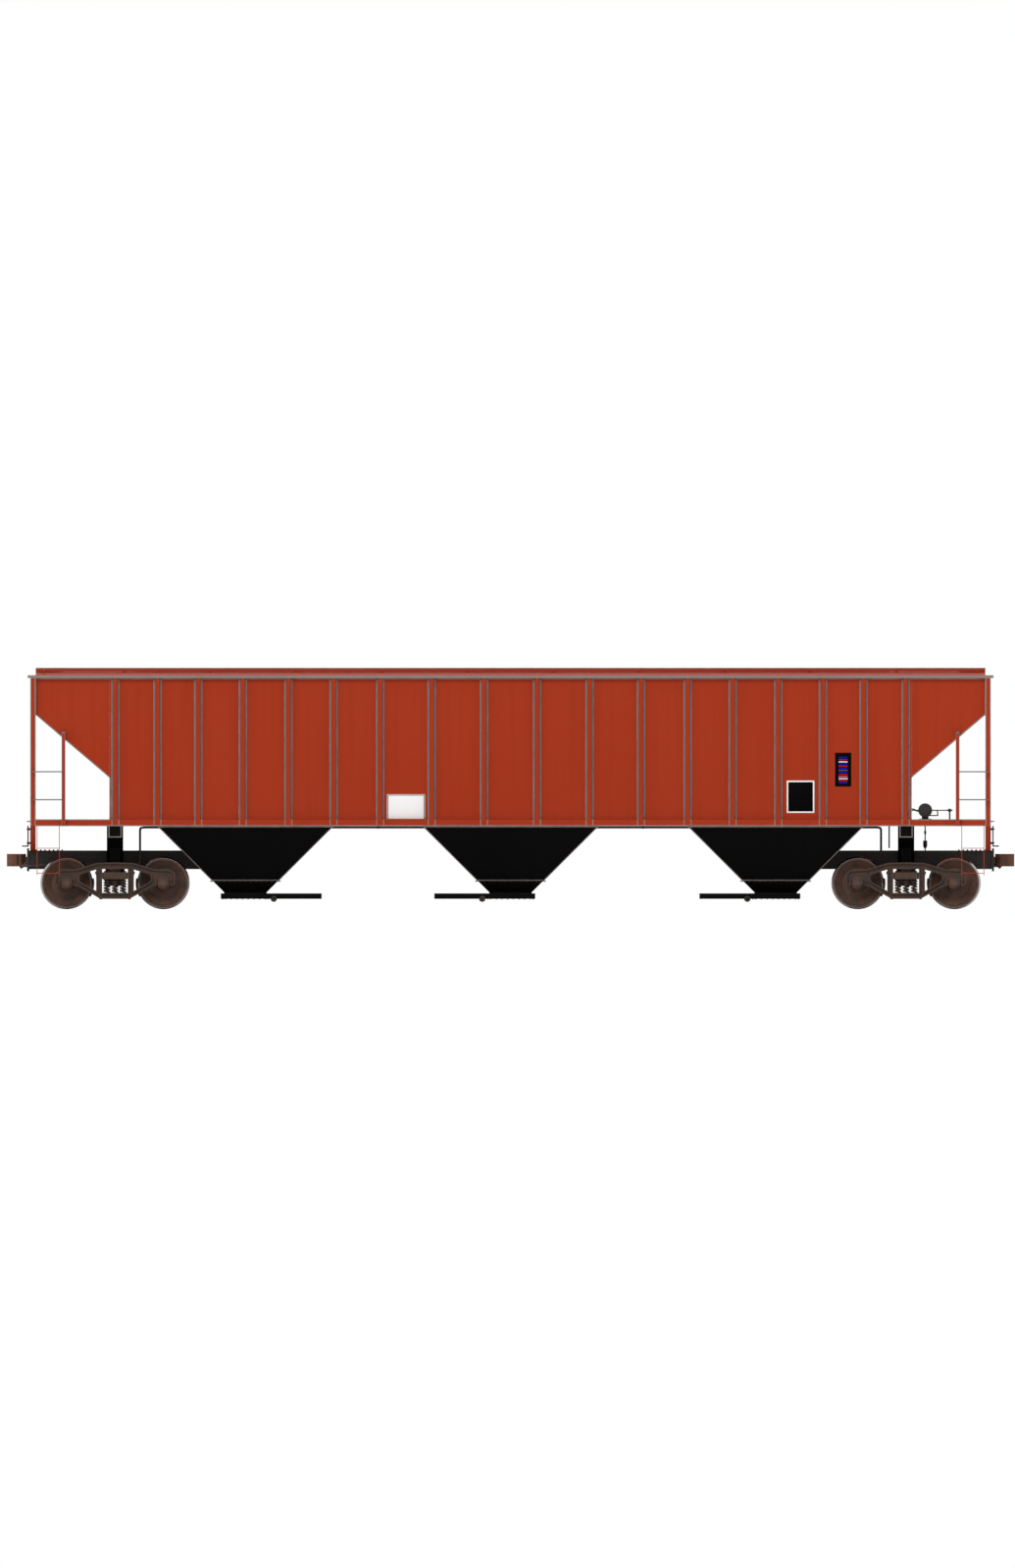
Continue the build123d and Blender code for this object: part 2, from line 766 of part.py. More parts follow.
for number, middle in enumerate(cover_middles, 1):
    with BuildPart() as hatch_cover:
        with Locations((middle, 0, 0)):
            add(cover.part)
    write(hatch_cover, f"hatch_cover_{number}")

# Running boards on both sides of the hatch, crossovers at the ends, and the brackets under them
board_depth = 32.0
board_inner = 560.0
board_width = 320.0
crossover_length = 460.0
stringer_depth = 67.0  # of the bar along each board's outer edge
bracket_width = 60.0
bracket_count = 12
board_outer = board_inner + board_width
board_middle = board_inner + board_width / 2

with BuildPart() as running_boards:
    with BuildSketch(Plane.XY.offset(walk_z)):
        with Locations((0, board_middle), (0, -board_middle)):
            Rectangle(2 * end_wall_x, board_width)
        with Locations((end_wall_x - crossover_length / 2, 0), (crossover_length / 2 - end_wall_x, 0)):
            Rectangle(crossover_length, 2 * (board_inner - seam_gap))
    extrude(amount=-board_depth)
    with BuildSketch(Plane.XY.offset(walk_z)):
        with Locations((0, board_outer + steel / 2), (0, -board_outer - steel / 2)):
            Rectangle(2 * end_wall_x, steel)
    extrude(amount=-stringer_depth)
write(running_boards, "running_boards")

bracket_pitch = 2 * (end_wall_x - bracket_width) / (bracket_count - 1)
bracket_places = [number * bracket_pitch - end_wall_x + bracket_width for number in range(bracket_count)]

with BuildPart() as bracket_pair:
    with BuildSketch(endwise(-bracket_width / 2)):
        with BuildLine():
            ThreePointArc(
                (board_inner, roof_z(board_inner, roof_sheet)),
                (board_middle, roof_z(board_middle, roof_sheet)),
                (board_outer, roof_z(board_outer, roof_sheet)),
            )
            Polyline(
                (board_outer, roof_z(board_outer, roof_sheet)),
                (board_outer, walk_z - board_depth),
                (board_inner, walk_z - board_depth),
                (board_inner, roof_z(board_inner, roof_sheet)),
            )
        make_face()
    extrude(amount=bracket_width)
    mirror(about=Plane.XZ)
with BuildPart() as board_brackets:
    with Locations([(place, 0, 0) for place in bracket_places]):
        add(bracket_pair.part)
write(board_brackets, "board_brackets")

# Underframe: draft sills, body bolsters, end sills and the decks between them
draft_width = 330.0
draft_depth = 343.0
draft_steel = 12.0
draft_height = 711.0  # underside over the rail
draft_z = over_rail(draft_height)
draft_top_z = draft_z + draft_depth
striker_reach = 20.0
draft_end_x = body_end_x + striker_reach
centre_plate_radius = 178.0
centre_plate_z = over_rail(centre_plate_height)
coupler_z = over_rail(coupler_height)
striker_plate = 40.0
striker_width = 420.0
mouth_width = 300.0
shank_half = 64.0


def hopper_slope_x(z):
    # Outer face of the end hopper's slope sheet, or of the end slope sheet over it
    return hopper_end_x - sill_z + z


with BuildPart() as draft_sill:
    with BuildSketch(crosswise(-draft_width / 2)):
        polygon(
            [
                (hopper_slope_x(draft_z), draft_z),
                (draft_end_x, draft_z),
                (draft_end_x, draft_top_z),
                (hopper_slope_x(draft_top_z), draft_top_z),
            ]
        )
    extrude(amount=-draft_width)
    with BuildSketch(crosswise(draft_steel - draft_width / 2)):
        polygon(
            [
                (hopper_slope_x(draft_z) - overrun, draft_z - overrun),
                (draft_end_x + overrun, draft_z - overrun),
                (draft_end_x + overrun, draft_top_z - draft_steel),
                (hopper_slope_x(draft_z) - overrun, draft_top_z - draft_steel),
            ]
        )
    extrude(amount=2 * draft_steel - draft_width, mode=Mode.SUBTRACT)
    with BuildSketch(endwise(draft_end_x)):
        with Locations((0, (draft_z + draft_top_z) / 2)):
            Rectangle(striker_width, draft_depth + 2 * striker_plate)
        with Locations((0, coupler_z - shank_half - seat_gap + mouth_width / 4)):
            Rectangle(mouth_width, mouth_width / 2, mode=Mode.SUBTRACT)
    extrude(amount=striker_plate)
    with BuildSketch(Plane.XY.offset(draft_z)):
        with Locations((truck_x, 0)):
            Rectangle(2 * centre_plate_radius, draft_width)
    extrude(amount=draft_steel)
    with BuildSketch(Plane.XY.offset(centre_plate_z)):
        with Locations((truck_x, 0)):
            Circle(centre_plate_radius)
    extrude(amount=draft_z - centre_plate_z)
with BuildPart() as draft_sills:
    add(draft_sill.part)
    mirror(about=Plane.YZ)
write(draft_sills, "draft_sills")

bolster_length = 300.0
bolster_web = 24.0
bolster_root_z = draft_z + draft_depth / 4
side_bearing_spread = 635.0
side_bearing_width = 120.0
side_bearing_length = 180.0
roller_height = 70.0  # of the side bearing on the truck
side_bearing_foot_z = centre_plate_z + roller_height + clearance
draft_side = draft_width / 2

with BuildPart() as body_bolster:
    with BuildSketch(endwise(truck_x - bolster_length / 2)):
        polygon(
            [
                (-inner_y, sill_top_z),
                (-inner_y, sill_z),
                (-draft_side, bolster_root_z),
                (-draft_side, draft_top_z),
                (draft_side, draft_top_z),
                (draft_side, bolster_root_z),
                (inner_y, sill_z),
                (inner_y, sill_top_z),
            ]
        )
    extrude(amount=bolster_length)
    for face_x, depth in (
        (truck_x - bolster_length / 2, (bolster_length - bolster_web) / 2),
        (truck_x + bolster_length / 2, (bolster_web - bolster_length) / 2),
    ):
        with BuildSketch(endwise(face_x)):
            polygon(
                [
                    (-inner_y + bolster_web, sill_top_z - bolster_web),
                    (-inner_y + bolster_web, sill_z + bolster_web / 2),
                    (-draft_side - bolster_web, bolster_root_z + 2 * bolster_web),
                    (-draft_side - bolster_web, draft_top_z + bolster_web),
                    (draft_side + bolster_web, draft_top_z + bolster_web),
                    (draft_side + bolster_web, bolster_root_z + 2 * bolster_web),
                    (inner_y - bolster_web, sill_z + bolster_web / 2),
                    (inner_y - bolster_web, sill_top_z - bolster_web),
                ]
            )
        extrude(amount=depth, mode=Mode.SUBTRACT)
    with BuildSketch(Plane.XY.offset(side_bearing_foot_z)):
        with Locations((truck_x, side_bearing_spread), (truck_x, -side_bearing_spread)):
            Rectangle(side_bearing_length, side_bearing_width)
    extrude(amount=sill_top_z - bolster_web - side_bearing_foot_z)
with BuildPart() as body_bolsters:
    add(body_bolster.part)
    mirror(about=Plane.YZ)
write(body_bolsters, "body_bolsters")

end_sill_foot = 260.0

with BuildPart() as end_sills:
    with BuildSketch(endwise(end_wall_x)):
        polygon(
            [
                (-skin_y, sill_top_z),
                (-skin_y, sill_z),
                (-end_sill_foot, draft_top_z),
                (end_sill_foot, draft_top_z),
                (skin_y, sill_z),
                (skin_y, sill_top_z),
            ]
        )
    extrude(amount=corner_post_width)
    with BuildSketch(endwise(end_wall_x)):
        polygon(
            [
                (-skin_y + steel, sill_top_z - steel),
                (-skin_y + steel, sill_z + steel),
                (-end_sill_foot + steel, draft_top_z + steel),
                (end_sill_foot - steel, draft_top_z + steel),
                (skin_y - steel, sill_z + steel),
                (skin_y - steel, sill_top_z - steel),
            ]
        )
    extrude(amount=corner_post_width - steel, mode=Mode.SUBTRACT)
    mirror(about=Plane.YZ)
write(end_sills, "end_sills")

with BuildPart() as end_decks:
    with BuildSketch(Plane.XY.offset(sill_top_z)):
        polygon(
            [
                (truck_x + bolster_length / 2, -skin_y),
                (end_wall_x, -skin_y),
                (end_wall_x, skin_y),
                (truck_x + bolster_length / 2, skin_y),
            ]
        )
    extrude(amount=-steel)
    mirror(about=Plane.YZ)
write(end_decks, "end_decks")

# Jacking pads under the side sills at the bolsters
pad_width = 241.0
pad_depth = 207.0

with BuildPart() as jacking_pads:
    with BuildSketch(crosswise(body_y - steel)):
        polygon(
            [
                (truck_x - pad_width / 2, sill_z),
                (truck_x + pad_width / 2, sill_z),
                (truck_x + pad_width / 2, sill_z - pad_depth),
                (truck_x - pad_width / 2, sill_z - pad_depth),
            ]
        )
    extrude(amount=-steel)
    with BuildSketch(Plane.XY.offset(sill_z - pad_depth)):
        with Locations((truck_x, (skin_y + body_y) / 2)):
            Rectangle(pad_width, post_depth)
    extrude(amount=2 * steel)
    with BuildSketch(endwise(truck_x - steel / 2)):
        with Locations(((skin_y + body_y) / 2, sill_z - pad_depth / 2)):
            Rectangle(post_depth, pad_depth)
    extrude(amount=steel)
    mirror(about=Plane.XZ)
    mirror(about=Plane.YZ)
write(jacking_pads, "jacking_pads")

# Ladders, handholds and sill steps
stile_setback = 609.0  # side stile from the corner post's outer face
stile_width = 67.0
stile_plate = 12.0
stile_height = 1737.0
rung_radius = 11.0
side_rung_heights = (486.0, 999.0)  # over the sill's underside
foot_block = 60.0
side_stile_x = body_end_x - stile_setback
rail_y = extreme_width / 2
rung_y = rail_y - stile_plate - rung_radius
post_middle_x = body_end_x - corner_post_width / 2

with BuildPart() as side_ladders:
    with BuildSketch(crosswise(rail_y - stile_plate)):
        with Locations((side_stile_x, sill_z + stile_height / 2)):
            Rectangle(stile_width, stile_height)
    extrude(amount=-stile_plate)
    for seat_y, low_z in ((body_y, sill_z + foot_block / 2), (skin_y, sill_z + stile_height - foot_block)):
        with BuildSketch(crosswise(seat_y)):
            with Locations((side_stile_x, low_z + foot_block / 2)):
                Rectangle(stile_width, foot_block)
        extrude(amount=seat_y - rail_y + stile_plate)
    for height in side_rung_heights:
        with BuildSketch(endwise(side_stile_x)):
            with Locations((rung_y, sill_z + height)):
                Rectangle(2 * rung_radius, 2 * rung_radius)
        extrude(amount=post_middle_x - side_stile_x + rung_radius)
        with BuildSketch(crosswise(body_y)):
            with Locations((post_middle_x, sill_z + height)):
                Rectangle(2 * rung_radius, 2 * rung_radius)
        extrude(amount=body_y - rung_y - rung_radius)
    mirror(about=Plane.XZ)
    mirror(about=Plane.YZ)
write(side_ladders, "side_ladders")

end_ladder_width = 405.0
end_rung_count = 6
end_rung_x = body_end_x - 2 * rung_radius
outer_stile_y = inner_y - stile_plate / 2
end_stile_y = inner_y - end_ladder_width
end_rung_pitch = (eave_under_z - sill_top_z) / end_rung_count
end_rung_heights = [sill_top_z + (number + 1 / 2) * end_rung_pitch for number in range(end_rung_count)]

with BuildPart() as end_ladder:
    with BuildSketch(Plane.XY.offset(sill_top_z)):
        with Locations([(body_end_x - corner_post_width / 4, y) for y in (end_stile_y, outer_stile_y)]):
            Rectangle(corner_post_width / 2, stile_plate)
    extrude(amount=eave_under_z - sill_top_z)
    with BuildSketch(crosswise(end_stile_y)):
        with Locations([(end_rung_x, height) for height in end_rung_heights]):
            Circle(rung_radius)
    extrude(amount=end_stile_y - outer_stile_y)
with BuildPart() as end_ladders:
    add(turned(end_ladder.part, 0, 1))
    add(turned(end_ladder.part, 0, -1))
write(end_ladders, "end_ladders")

step_width = 420.0
step_drop = 900.0
step_bar = 50.0
step_treads_shares = (0.45, 0.96)  # of the drop, to each tread's top
step_x = (side_stile_x + post_middle_x) / 2

with BuildPart() as sill_steps:
    with BuildSketch(crosswise(body_y - step_bar)):
        for side in (1, -1):
            with Locations((step_x + side * (step_width - stile_plate) / 2, sill_z - step_drop / 2)):
                Rectangle(stile_plate, step_drop)
        with Locations([(step_x, sill_z - share * step_drop) for share in step_treads_shares]):
            Rectangle(step_width, stile_plate)
    extrude(amount=-step_bar)
    mirror(about=Plane.XZ)
    mirror(about=Plane.YZ)
write(sill_steps, "sill_steps")

# Air brake gear on the deck at the +X end, and the hand brake between that end's posts
saddle_height = 40.0
wall_room = 140.0  # from the side sheets to the gear beside them
reservoir_radius = 150.0
reservoir_length = 1050.0
reservoir_x = truck_x - corner_post_width / 2
reservoir_y = inner_y - wall_room - saddle_height - reservoir_length / 2
cylinder_radius = 125.0
cylinder_length = 380.0
cylinder_x = reservoir_x + reservoir_radius + 2 * cylinder_radius
cylinder_y = -(inner_y - wall_room - saddle_height - cylinder_length / 2)
rod_radius = 20.0
rod_reach = 350.0
valve_size = 220.0
valve_y_share = 0.25
valve_y = valve_y_share * inner_y
dome_shares = ((1.0, 0.0), (0.9, 0.5), (0.65, 1.0))  # of a tank's radius, and of its saddle's height


def tank(radius, length, x, y):
    # A drum with stepped dished ends, lying across the car on two saddles
    middle_z = sill_top_z + saddle_height + radius
    for grow, reach in dome_shares:
        with BuildSketch(crosswise(y - length / 2 - reach * saddle_height)) as disc:
            with Locations((x, middle_z)):
                Circle(radius * grow)
        extrude(disc.sketch, amount=-length - 2 * reach * saddle_height)
    with BuildSketch(Plane.XY.offset(sill_top_z)) as saddles:
        with Locations((x, y - length / 4), (x, y + length / 4)):
            Rectangle(radius, 2 * steel)
    extrude(saddles.sketch, amount=saddle_height + radius / 2)


with BuildPart() as air_reservoir:
    tank(reservoir_radius, reservoir_length, reservoir_x, reservoir_y)
write(air_reservoir, "air_reservoir")

with BuildPart() as brake_cylinder:
    tank(cylinder_radius, cylinder_length, cylinder_x, cylinder_y)
    with BuildSketch(crosswise(cylinder_y + cylinder_length / 2)):
        with Locations((cylinder_x, sill_top_z + saddle_height + cylinder_radius)):
            Circle(rod_radius)
    extrude(amount=-rod_reach)
write(brake_cylinder, "brake_cylinder")

with BuildPart() as control_valve:
    with BuildSketch(Plane.XY.offset(sill_top_z)):
        with Locations((cylinder_x, valve_y)):
            Rectangle(valve_size / 2, valve_size)
    extrude(amount=valve_size)
    for side in (1, -1):
        with BuildSketch(crosswise(valve_y + side * valve_size / 2)):
            with Locations((cylinder_x, sill_top_z + valve_size / 2)):
                Circle(valve_size / 3)
        extrude(amount=-side * valve_size / 4)
write(control_valve, "control_valve")

brake_wheel_radius = 280.0
brake_wheel_rim = 14.0  # half the rim's thickness
brake_rod_radius = 11.0
brake_wheel_height = 1200.0  # over the deck
brake_arm = 60.0
housing_width = 260.0
housing_height = 380.0
housing_depth = 55.0
spoke_count = 5
spoke_width = 24.0
brake_hub = 40.0
post_edge_y = end_post_spread + corner_post_width / 2
brake_wheel_y = -(post_edge_y + skin_y) / 2
brake_wheel_x = body_end_x - brake_wheel_rim
brake_wheel_z = sill_top_z + brake_wheel_height
brake_face_x = end_wall_x + stile_plate

with BuildPart() as hand_brake:
    with BuildSketch(endwise(end_wall_x)):
        for reach in (housing_height - brake_arm, brake_arm - housing_height):
            with Locations((brake_wheel_y, brake_wheel_z + reach / 2)):
                Rectangle(skin_y - post_edge_y, brake_arm)
    extrude(amount=stile_plate)
    with BuildSketch(endwise(brake_face_x)):
        with Locations((brake_wheel_y, brake_wheel_z)):
            RectangleRounded(housing_width, housing_height, brake_arm)
    extrude(amount=housing_depth)
    with BuildSketch(endwise(brake_face_x)):
        with Locations((brake_wheel_y, brake_wheel_z)):
            Circle(brake_hub)
    extrude(amount=body_end_x - brake_face_x)
    with BuildSketch(endwise(brake_wheel_x - brake_wheel_rim / 2)):
        with Locations((brake_wheel_y, brake_wheel_z)):
            with PolarLocations((brake_wheel_radius - brake_wheel_rim) / 2, spoke_count):
                Rectangle(brake_wheel_radius - brake_wheel_rim, spoke_width)
    extrude(amount=brake_wheel_rim)
    with BuildSketch(crosswise(brake_wheel_y)):
        with Locations((brake_wheel_x, brake_wheel_z + brake_wheel_radius - brake_wheel_rim)):
            RegularPolygon(brake_wheel_rim, 8, major_radius=False)
    revolve(axis=Axis((0, brake_wheel_y, brake_wheel_z), (1, 0, 0)))
    with BuildSketch(Plane.XY.offset(sill_top_z)):
        with Locations((brake_face_x + housing_depth / 2, brake_wheel_y)):
            Circle(brake_rod_radius)
    extrude(amount=brake_wheel_height - housing_height / 2)
write(hand_brake, "hand_brake")

# Uncoupling levers: a bent rod across half of each end, in two brackets on the end sill
lever_radius = 12.0
lever_inner_y = 290.0
lever_rise = 80.0  # over the draft sill
lever_setback = 105.0  # from the side sheets
lever_inner_z = draft_top_z + lever_rise
lever_outer_y = inner_y - lever_setback
lever_outer_z = sill_z
lever_reach = 40.0  # rod from the end sill's face
lever_arm = 110.0
lever_handle = 260.0
lever_bend = 40.0
lever_x = body_end_x + lever_reach
bracket_shares = (0.15, 0.85)
bracket_size = 40.0

with BuildPart() as lever:
    with BuildLine() as lever_path:
        Polyline(
            (lever_x + lever_arm, lever_inner_y, lever_inner_z),
            (lever_x, lever_inner_y, lever_inner_z),
            (lever_x, lever_outer_y, lever_outer_z),
            (lever_x, lever_outer_y + lever_bend, lever_outer_z - lever_handle),
        )
    with BuildSketch(Plane(origin=lever_path.line @ 0, z_dir=lever_path.line % 0)):
        Circle(lever_radius)
    sweep(transition=Transition.ROUND)
    for share in bracket_shares:
        with BuildSketch(endwise(body_end_x)):
            with Locations(
                (
                    lever_inner_y + share * (lever_outer_y - lever_inner_y),
                    lever_inner_z + share * (lever_outer_z - lever_inner_z),
                )
            ):
                Rectangle(bracket_size, bracket_size)
        extrude(amount=lever_reach + 2 * lever_radius)
with BuildPart() as uncoupling_levers:
    add(turned(lever.part, 0, 1))
    add(turned(lever.part, 0, -1))
write(uncoupling_levers, "uncoupling_levers")

# Wheelsets: two wheels pressed on an axle with a roller bearing at each end
axle_radius = 88.0
wheel_seat_radius = 100.0
hub_radius = 137.0
hub_length = 178.0
hub_inset = 22.0  # inner end of the hub, inside the rim's inner face
bearing_radius = 110.0
bearing_length = 160.0
journal_radius = 78.0
end_cap_radius = 80.0
end_cap_length = 35.0
dust_guard = 30.0
hub_start = gauge_line - hub_inset
hub_end = hub_start + hub_length
bearing_start = journal_spread - bearing_length / 2
bearing_end = journal_spread + bearing_length / 2
# Half section of the wheel: radius as a share of the tread's, place across as a share of the rim's width
web_shares = ((0.335, 0.22), (0.60, 0.16), (0.875, 0.02), (0.875, 0.0))
tread_shares = ((1.035, 0.0), (1.0547, 0.09), (1.02, 0.19), (1.0, 0.26), (0.99, 1.0))
web_outer_shares = ((0.90, 1.0), (0.875, 0.86), (0.60, 0.40), (0.345, 0.46))


def wheel_point(shares):
    return (shares[0] * wheel_radius, gauge_line + shares[1] * rim_width)


axle_outline = (
    (axle_radius, hub_start - dust_guard),
    (wheel_seat_radius, hub_start),
    (wheel_seat_radius, hub_end),
    (journal_radius, hub_end + dust_guard),
    (journal_radius, bearing_start),
    (bearing_radius, bearing_start),
    (bearing_radius, bearing_end),
    (end_cap_radius, bearing_end),
    (end_cap_radius, bearing_end + end_cap_length),
    (0, bearing_end + end_cap_length),
)

with BuildPart() as wheelset:
    with BuildSketch(Plane.XY):
        polygon([*axle_outline, *[(radius, -along) for radius, along in reversed(axle_outline)]])
    revolve(axis=Axis.Y)
    with BuildSketch(Plane.XY):
        polygon(
            [
                (wheel_seat_radius + seat_gap, hub_start),
                (hub_radius, hub_start),
                *[wheel_point(shares) for shares in web_shares],
                *[wheel_point(shares) for shares in tread_shares],
                *[wheel_point(shares) for shares in web_outer_shares],
                (hub_radius, hub_end),
                (wheel_seat_radius + seat_gap, hub_end),
            ]
        )
    revolve(axis=Axis.Y)
    mirror(wheelset.part.solids().sort_by(Axis.Y)[-1], about=Plane.XZ)

# Truck, around its centre: cast side frames on the bearings, with a bolster between them on springs
frame_width = 150.0
frame_inner_y = journal_spread - frame_width / 2
frame_rib = 24.0  # ribs left round the outline and the windows on both faces
pocket_depth = 45.0
jaw_half = 125.0
jaw_drop = 52.0  # the jaws reach this far below the axle
saddle_z = wheel_z + bearing_radius / 2
window_half = 235.0
window_room = 60.0  # over the bolster
frame_arch = 121.0  # depth of the frame over its middle window
spring_seat_height = 275.0
frame_foot_height = 165.0
frame_half = 1100.0
bolster_top_z = centre_plate_z - seat_gap
spring_seat_z = over_rail(spring_seat_height)
frame_foot_z = over_rail(frame_foot_height)
window_top_z = bolster_top_z + window_room
frame_top_z = window_top_z + frame_arch
frame_height = frame_top_z - frame_foot_z
axle_x = wheelbase / 2
# Outline of one half from the foot outwards, and its side window: shares of the half length and the height
frame_shares = ((0.245, 0.0), (0.60, 0.33))
frame_crown_shares = ((1.0, 0.40), (1.0, 0.70), (0.93, 0.79), (0.66, 0.81), (0.30, 0.985))
light_shares = ((0.315, 0.22), (0.57, 0.46), (0.60, 0.53), (0.60, 0.64), (0.57, 0.68), (0.315, 0.80))


def frame_point(shares):
    return (shares[0] * frame_half, frame_foot_z + shares[1] * frame_height)


with BuildSketch(Plane.XZ) as frame_outline:
    polygon(
        [
            (0, frame_foot_z),
            *[frame_point(shares) for shares in frame_shares],
            (axle_x - jaw_half - frame_rib, wheel_z - jaw_drop),
            (axle_x - jaw_half, wheel_z - jaw_drop),
            (axle_x - jaw_half, saddle_z),
            (axle_x + jaw_half, saddle_z),
            (axle_x + jaw_half, wheel_z - jaw_drop),
            *[frame_point(shares) for shares in frame_crown_shares],
            (0, frame_top_z),
        ]
    )
    polygon([frame_point(shares) for shares in light_shares], mode=Mode.SUBTRACT)
    polygon(
        [(0, spring_seat_z), (window_half, spring_seat_z), (window_half, window_top_z), (0, window_top_z)],
        mode=Mode.SUBTRACT,
    )
    mirror(about=Plane.YZ)

with BuildSketch(Plane.XZ) as frame_pocket:
    offset(frame_outline.sketch, amount=-frame_rib, kind=Kind.INTERSECTION)
    with Locations((axle_x, wheel_z), (-axle_x, wheel_z)):
        Circle(bearing_radius + frame_rib, mode=Mode.SUBTRACT)

with BuildPart() as side_frame:
    with BuildSketch(crosswise(frame_inner_y)):
        add(frame_outline.sketch_local)
    extrude(amount=-frame_width)
    with BuildSketch(crosswise(frame_inner_y)):
        with Locations((axle_x, wheel_z), (-axle_x, wheel_z)):
            Circle(bearing_radius + seat_gap)
    extrude(amount=-frame_width, mode=Mode.SUBTRACT)
    for face_y, depth in ((frame_inner_y, pocket_depth), (frame_inner_y + frame_width, -pocket_depth)):
        with BuildSketch(crosswise(face_y)):
            add(frame_pocket.sketch_local)
        extrude(amount=-depth, mode=Mode.SUBTRACT)
    mirror(about=Plane.XZ)

bolster_half_width = 190.0
bolster_end_y = 1085.0
bolster_end_depth = 125.0
bolster_middle_depth = 250.0
bolster_middle_y = 500.0
bowl_depth = 25.0
bowl_rim = 20.0
gib_width = 100.0
bolster_light_radius = 60.0
bolster_light_share = 0.7  # of the way out to the middle part's corner
bolster_seat_z = bolster_top_z - bolster_end_depth
bolster_light_y = bolster_light_share * bolster_middle_y
bolster_light_z = bolster_top_z - bolster_middle_depth / 2

with BuildPart() as truck_bolster:
    with BuildSketch(endwise(-bolster_half_width)):
        polygon(
            [
                (-bolster_end_y, bolster_top_z),
                (-bolster_end_y, bolster_seat_z),
                (-frame_inner_y, bolster_seat_z),
                (-bolster_middle_y, bolster_top_z - bolster_middle_depth),
                (bolster_middle_y, bolster_top_z - bolster_middle_depth),
                (frame_inner_y, bolster_seat_z),
                (bolster_end_y, bolster_seat_z),
                (bolster_end_y, bolster_top_z),
            ]
        )
    extrude(amount=2 * bolster_half_width)
    with BuildSketch(endwise(-bolster_half_width)):
        with Locations((bolster_light_y, bolster_light_z), (-bolster_light_y, bolster_light_z)):
            SlotOverall(3 * bolster_light_radius, 2 * bolster_light_radius)
    extrude(amount=2 * bolster_half_width, mode=Mode.SUBTRACT)
    with BuildSketch(Plane.XY.offset(bolster_top_z)):
        Circle(centre_plate_radius + clearance + bowl_rim)
        Circle(centre_plate_radius + clearance, mode=Mode.SUBTRACT)
    extrude(amount=bowl_depth)
    with BuildSketch(Plane.XY.offset(bolster_top_z)):
        with Locations((0, side_bearing_spread), (0, -side_bearing_spread)):
            Rectangle(side_bearing_length, side_bearing_width)
    extrude(amount=roller_height)
    for end in (1, -1):
        for side in (1, -1):
            with BuildSketch(Plane.XY.offset(bolster_seat_z)):
                with Locations((end * (bolster_half_width + window_half) / 2, side * journal_spread)):
                    Rectangle(window_half - bolster_half_width - 2 * seat_gap, gib_width)
            extrude(amount=bolster_end_depth)

spring_radius = 68.0
spring_pitch = 148.0
spring_places = [(along * spring_pitch, side * journal_spread) for along in (-1, 0, 1) for side in (1, -1)]

with BuildPart() as truck_springs:
    with BuildSketch(Plane.XY.offset(spring_seat_z)):
        with Locations(spring_places):
            Circle(spring_radius)
    extrude(amount=bolster_seat_z - spring_seat_z)

beam_height = 285.0
beam_z = over_rail(beam_height)
beam_depth = 60.0
beam_thickness = 50.0
truss_depth = 110.0  # from the beam to the tie's middle
truss_tie = 28.0
truss_end_y = 700.0
strut_width = 50.0
shoe_thickness = 45.0
shoe_gap = 8.0
shoe_seat = 39.0  # from a shoe's face to the middle of its beam
shoe_half_angle = 20.0
shoe_middle_angle = 190.0
shoe_width = 85.0
tread_middle_share = 0.6
beam_x = axle_x - wheel_radius - shoe_gap - shoe_seat
tread_y = gauge_line + tread_middle_share * rim_width
shoe_turns = [radians(shoe_middle_angle + side * shoe_half_angle) for side in (-1, 1)]
shoe_edges = [(2 * wheel_radius * cos(turn), 2 * wheel_radius * sin(turn)) for turn in shoe_turns]

with BuildPart() as brake_beam:
    with BuildSketch(crosswise(-frame_inner_y + seat_gap)):
        with Locations((beam_x, beam_z)):
            Rectangle(beam_thickness, beam_depth)
    extrude(amount=-2 * (frame_inner_y - seat_gap))
    with BuildSketch(Plane.XY.offset(beam_z - truss_tie / 2)):
        polygon(
            [
                (beam_x, -truss_end_y),
                (beam_x - truss_depth, 0),
                (beam_x, truss_end_y),
                (beam_x, truss_end_y - 2 * truss_tie),
                (beam_x - truss_depth + truss_tie, 0),
                (beam_x, 2 * truss_tie - truss_end_y),
            ]
        )
        with Locations((beam_x - truss_depth / 2, 0)):
            Rectangle(truss_depth, strut_width)
    extrude(amount=truss_tie)
    for side in (1, -1):
        with BuildSketch(crosswise(side * tread_y - shoe_width / 2)):
            with Locations((axle_x, wheel_z)):
                Circle(wheel_radius + shoe_gap + shoe_thickness)
                Circle(wheel_radius + shoe_gap, mode=Mode.SUBTRACT)
                polygon([(0, 0), *shoe_edges], mode=Mode.INTERSECT)
        extrude(amount=-shoe_width)

for end, middle in (("a", truck_x), ("b", -truck_x)):
    for piece, name in (
        (side_frame, "side_frames"),
        (truck_bolster, "bolster"),
        (truck_springs, "springs"),
    ):
        with BuildPart() as placed:
            add(piece.part.moved(Location((middle, 0, 0))))
        write(placed, f"truck_{end}_{name}")
    with BuildPart() as brake_beams:
        add(turned(brake_beam.part, middle, 1))
        add(turned(brake_beam.part, middle, -1))
    write(brake_beams, f"truck_{end}_brake_beams")

for number, x in enumerate((truck_x + axle_x, truck_x - axle_x, axle_x - truck_x, -truck_x - axle_x), 1):
    with BuildPart() as placed_wheelset:
        add(wheelset.part.moved(Location((x, 0, wheel_z))))
    write(placed_wheelset, f"wheelset_{number}")

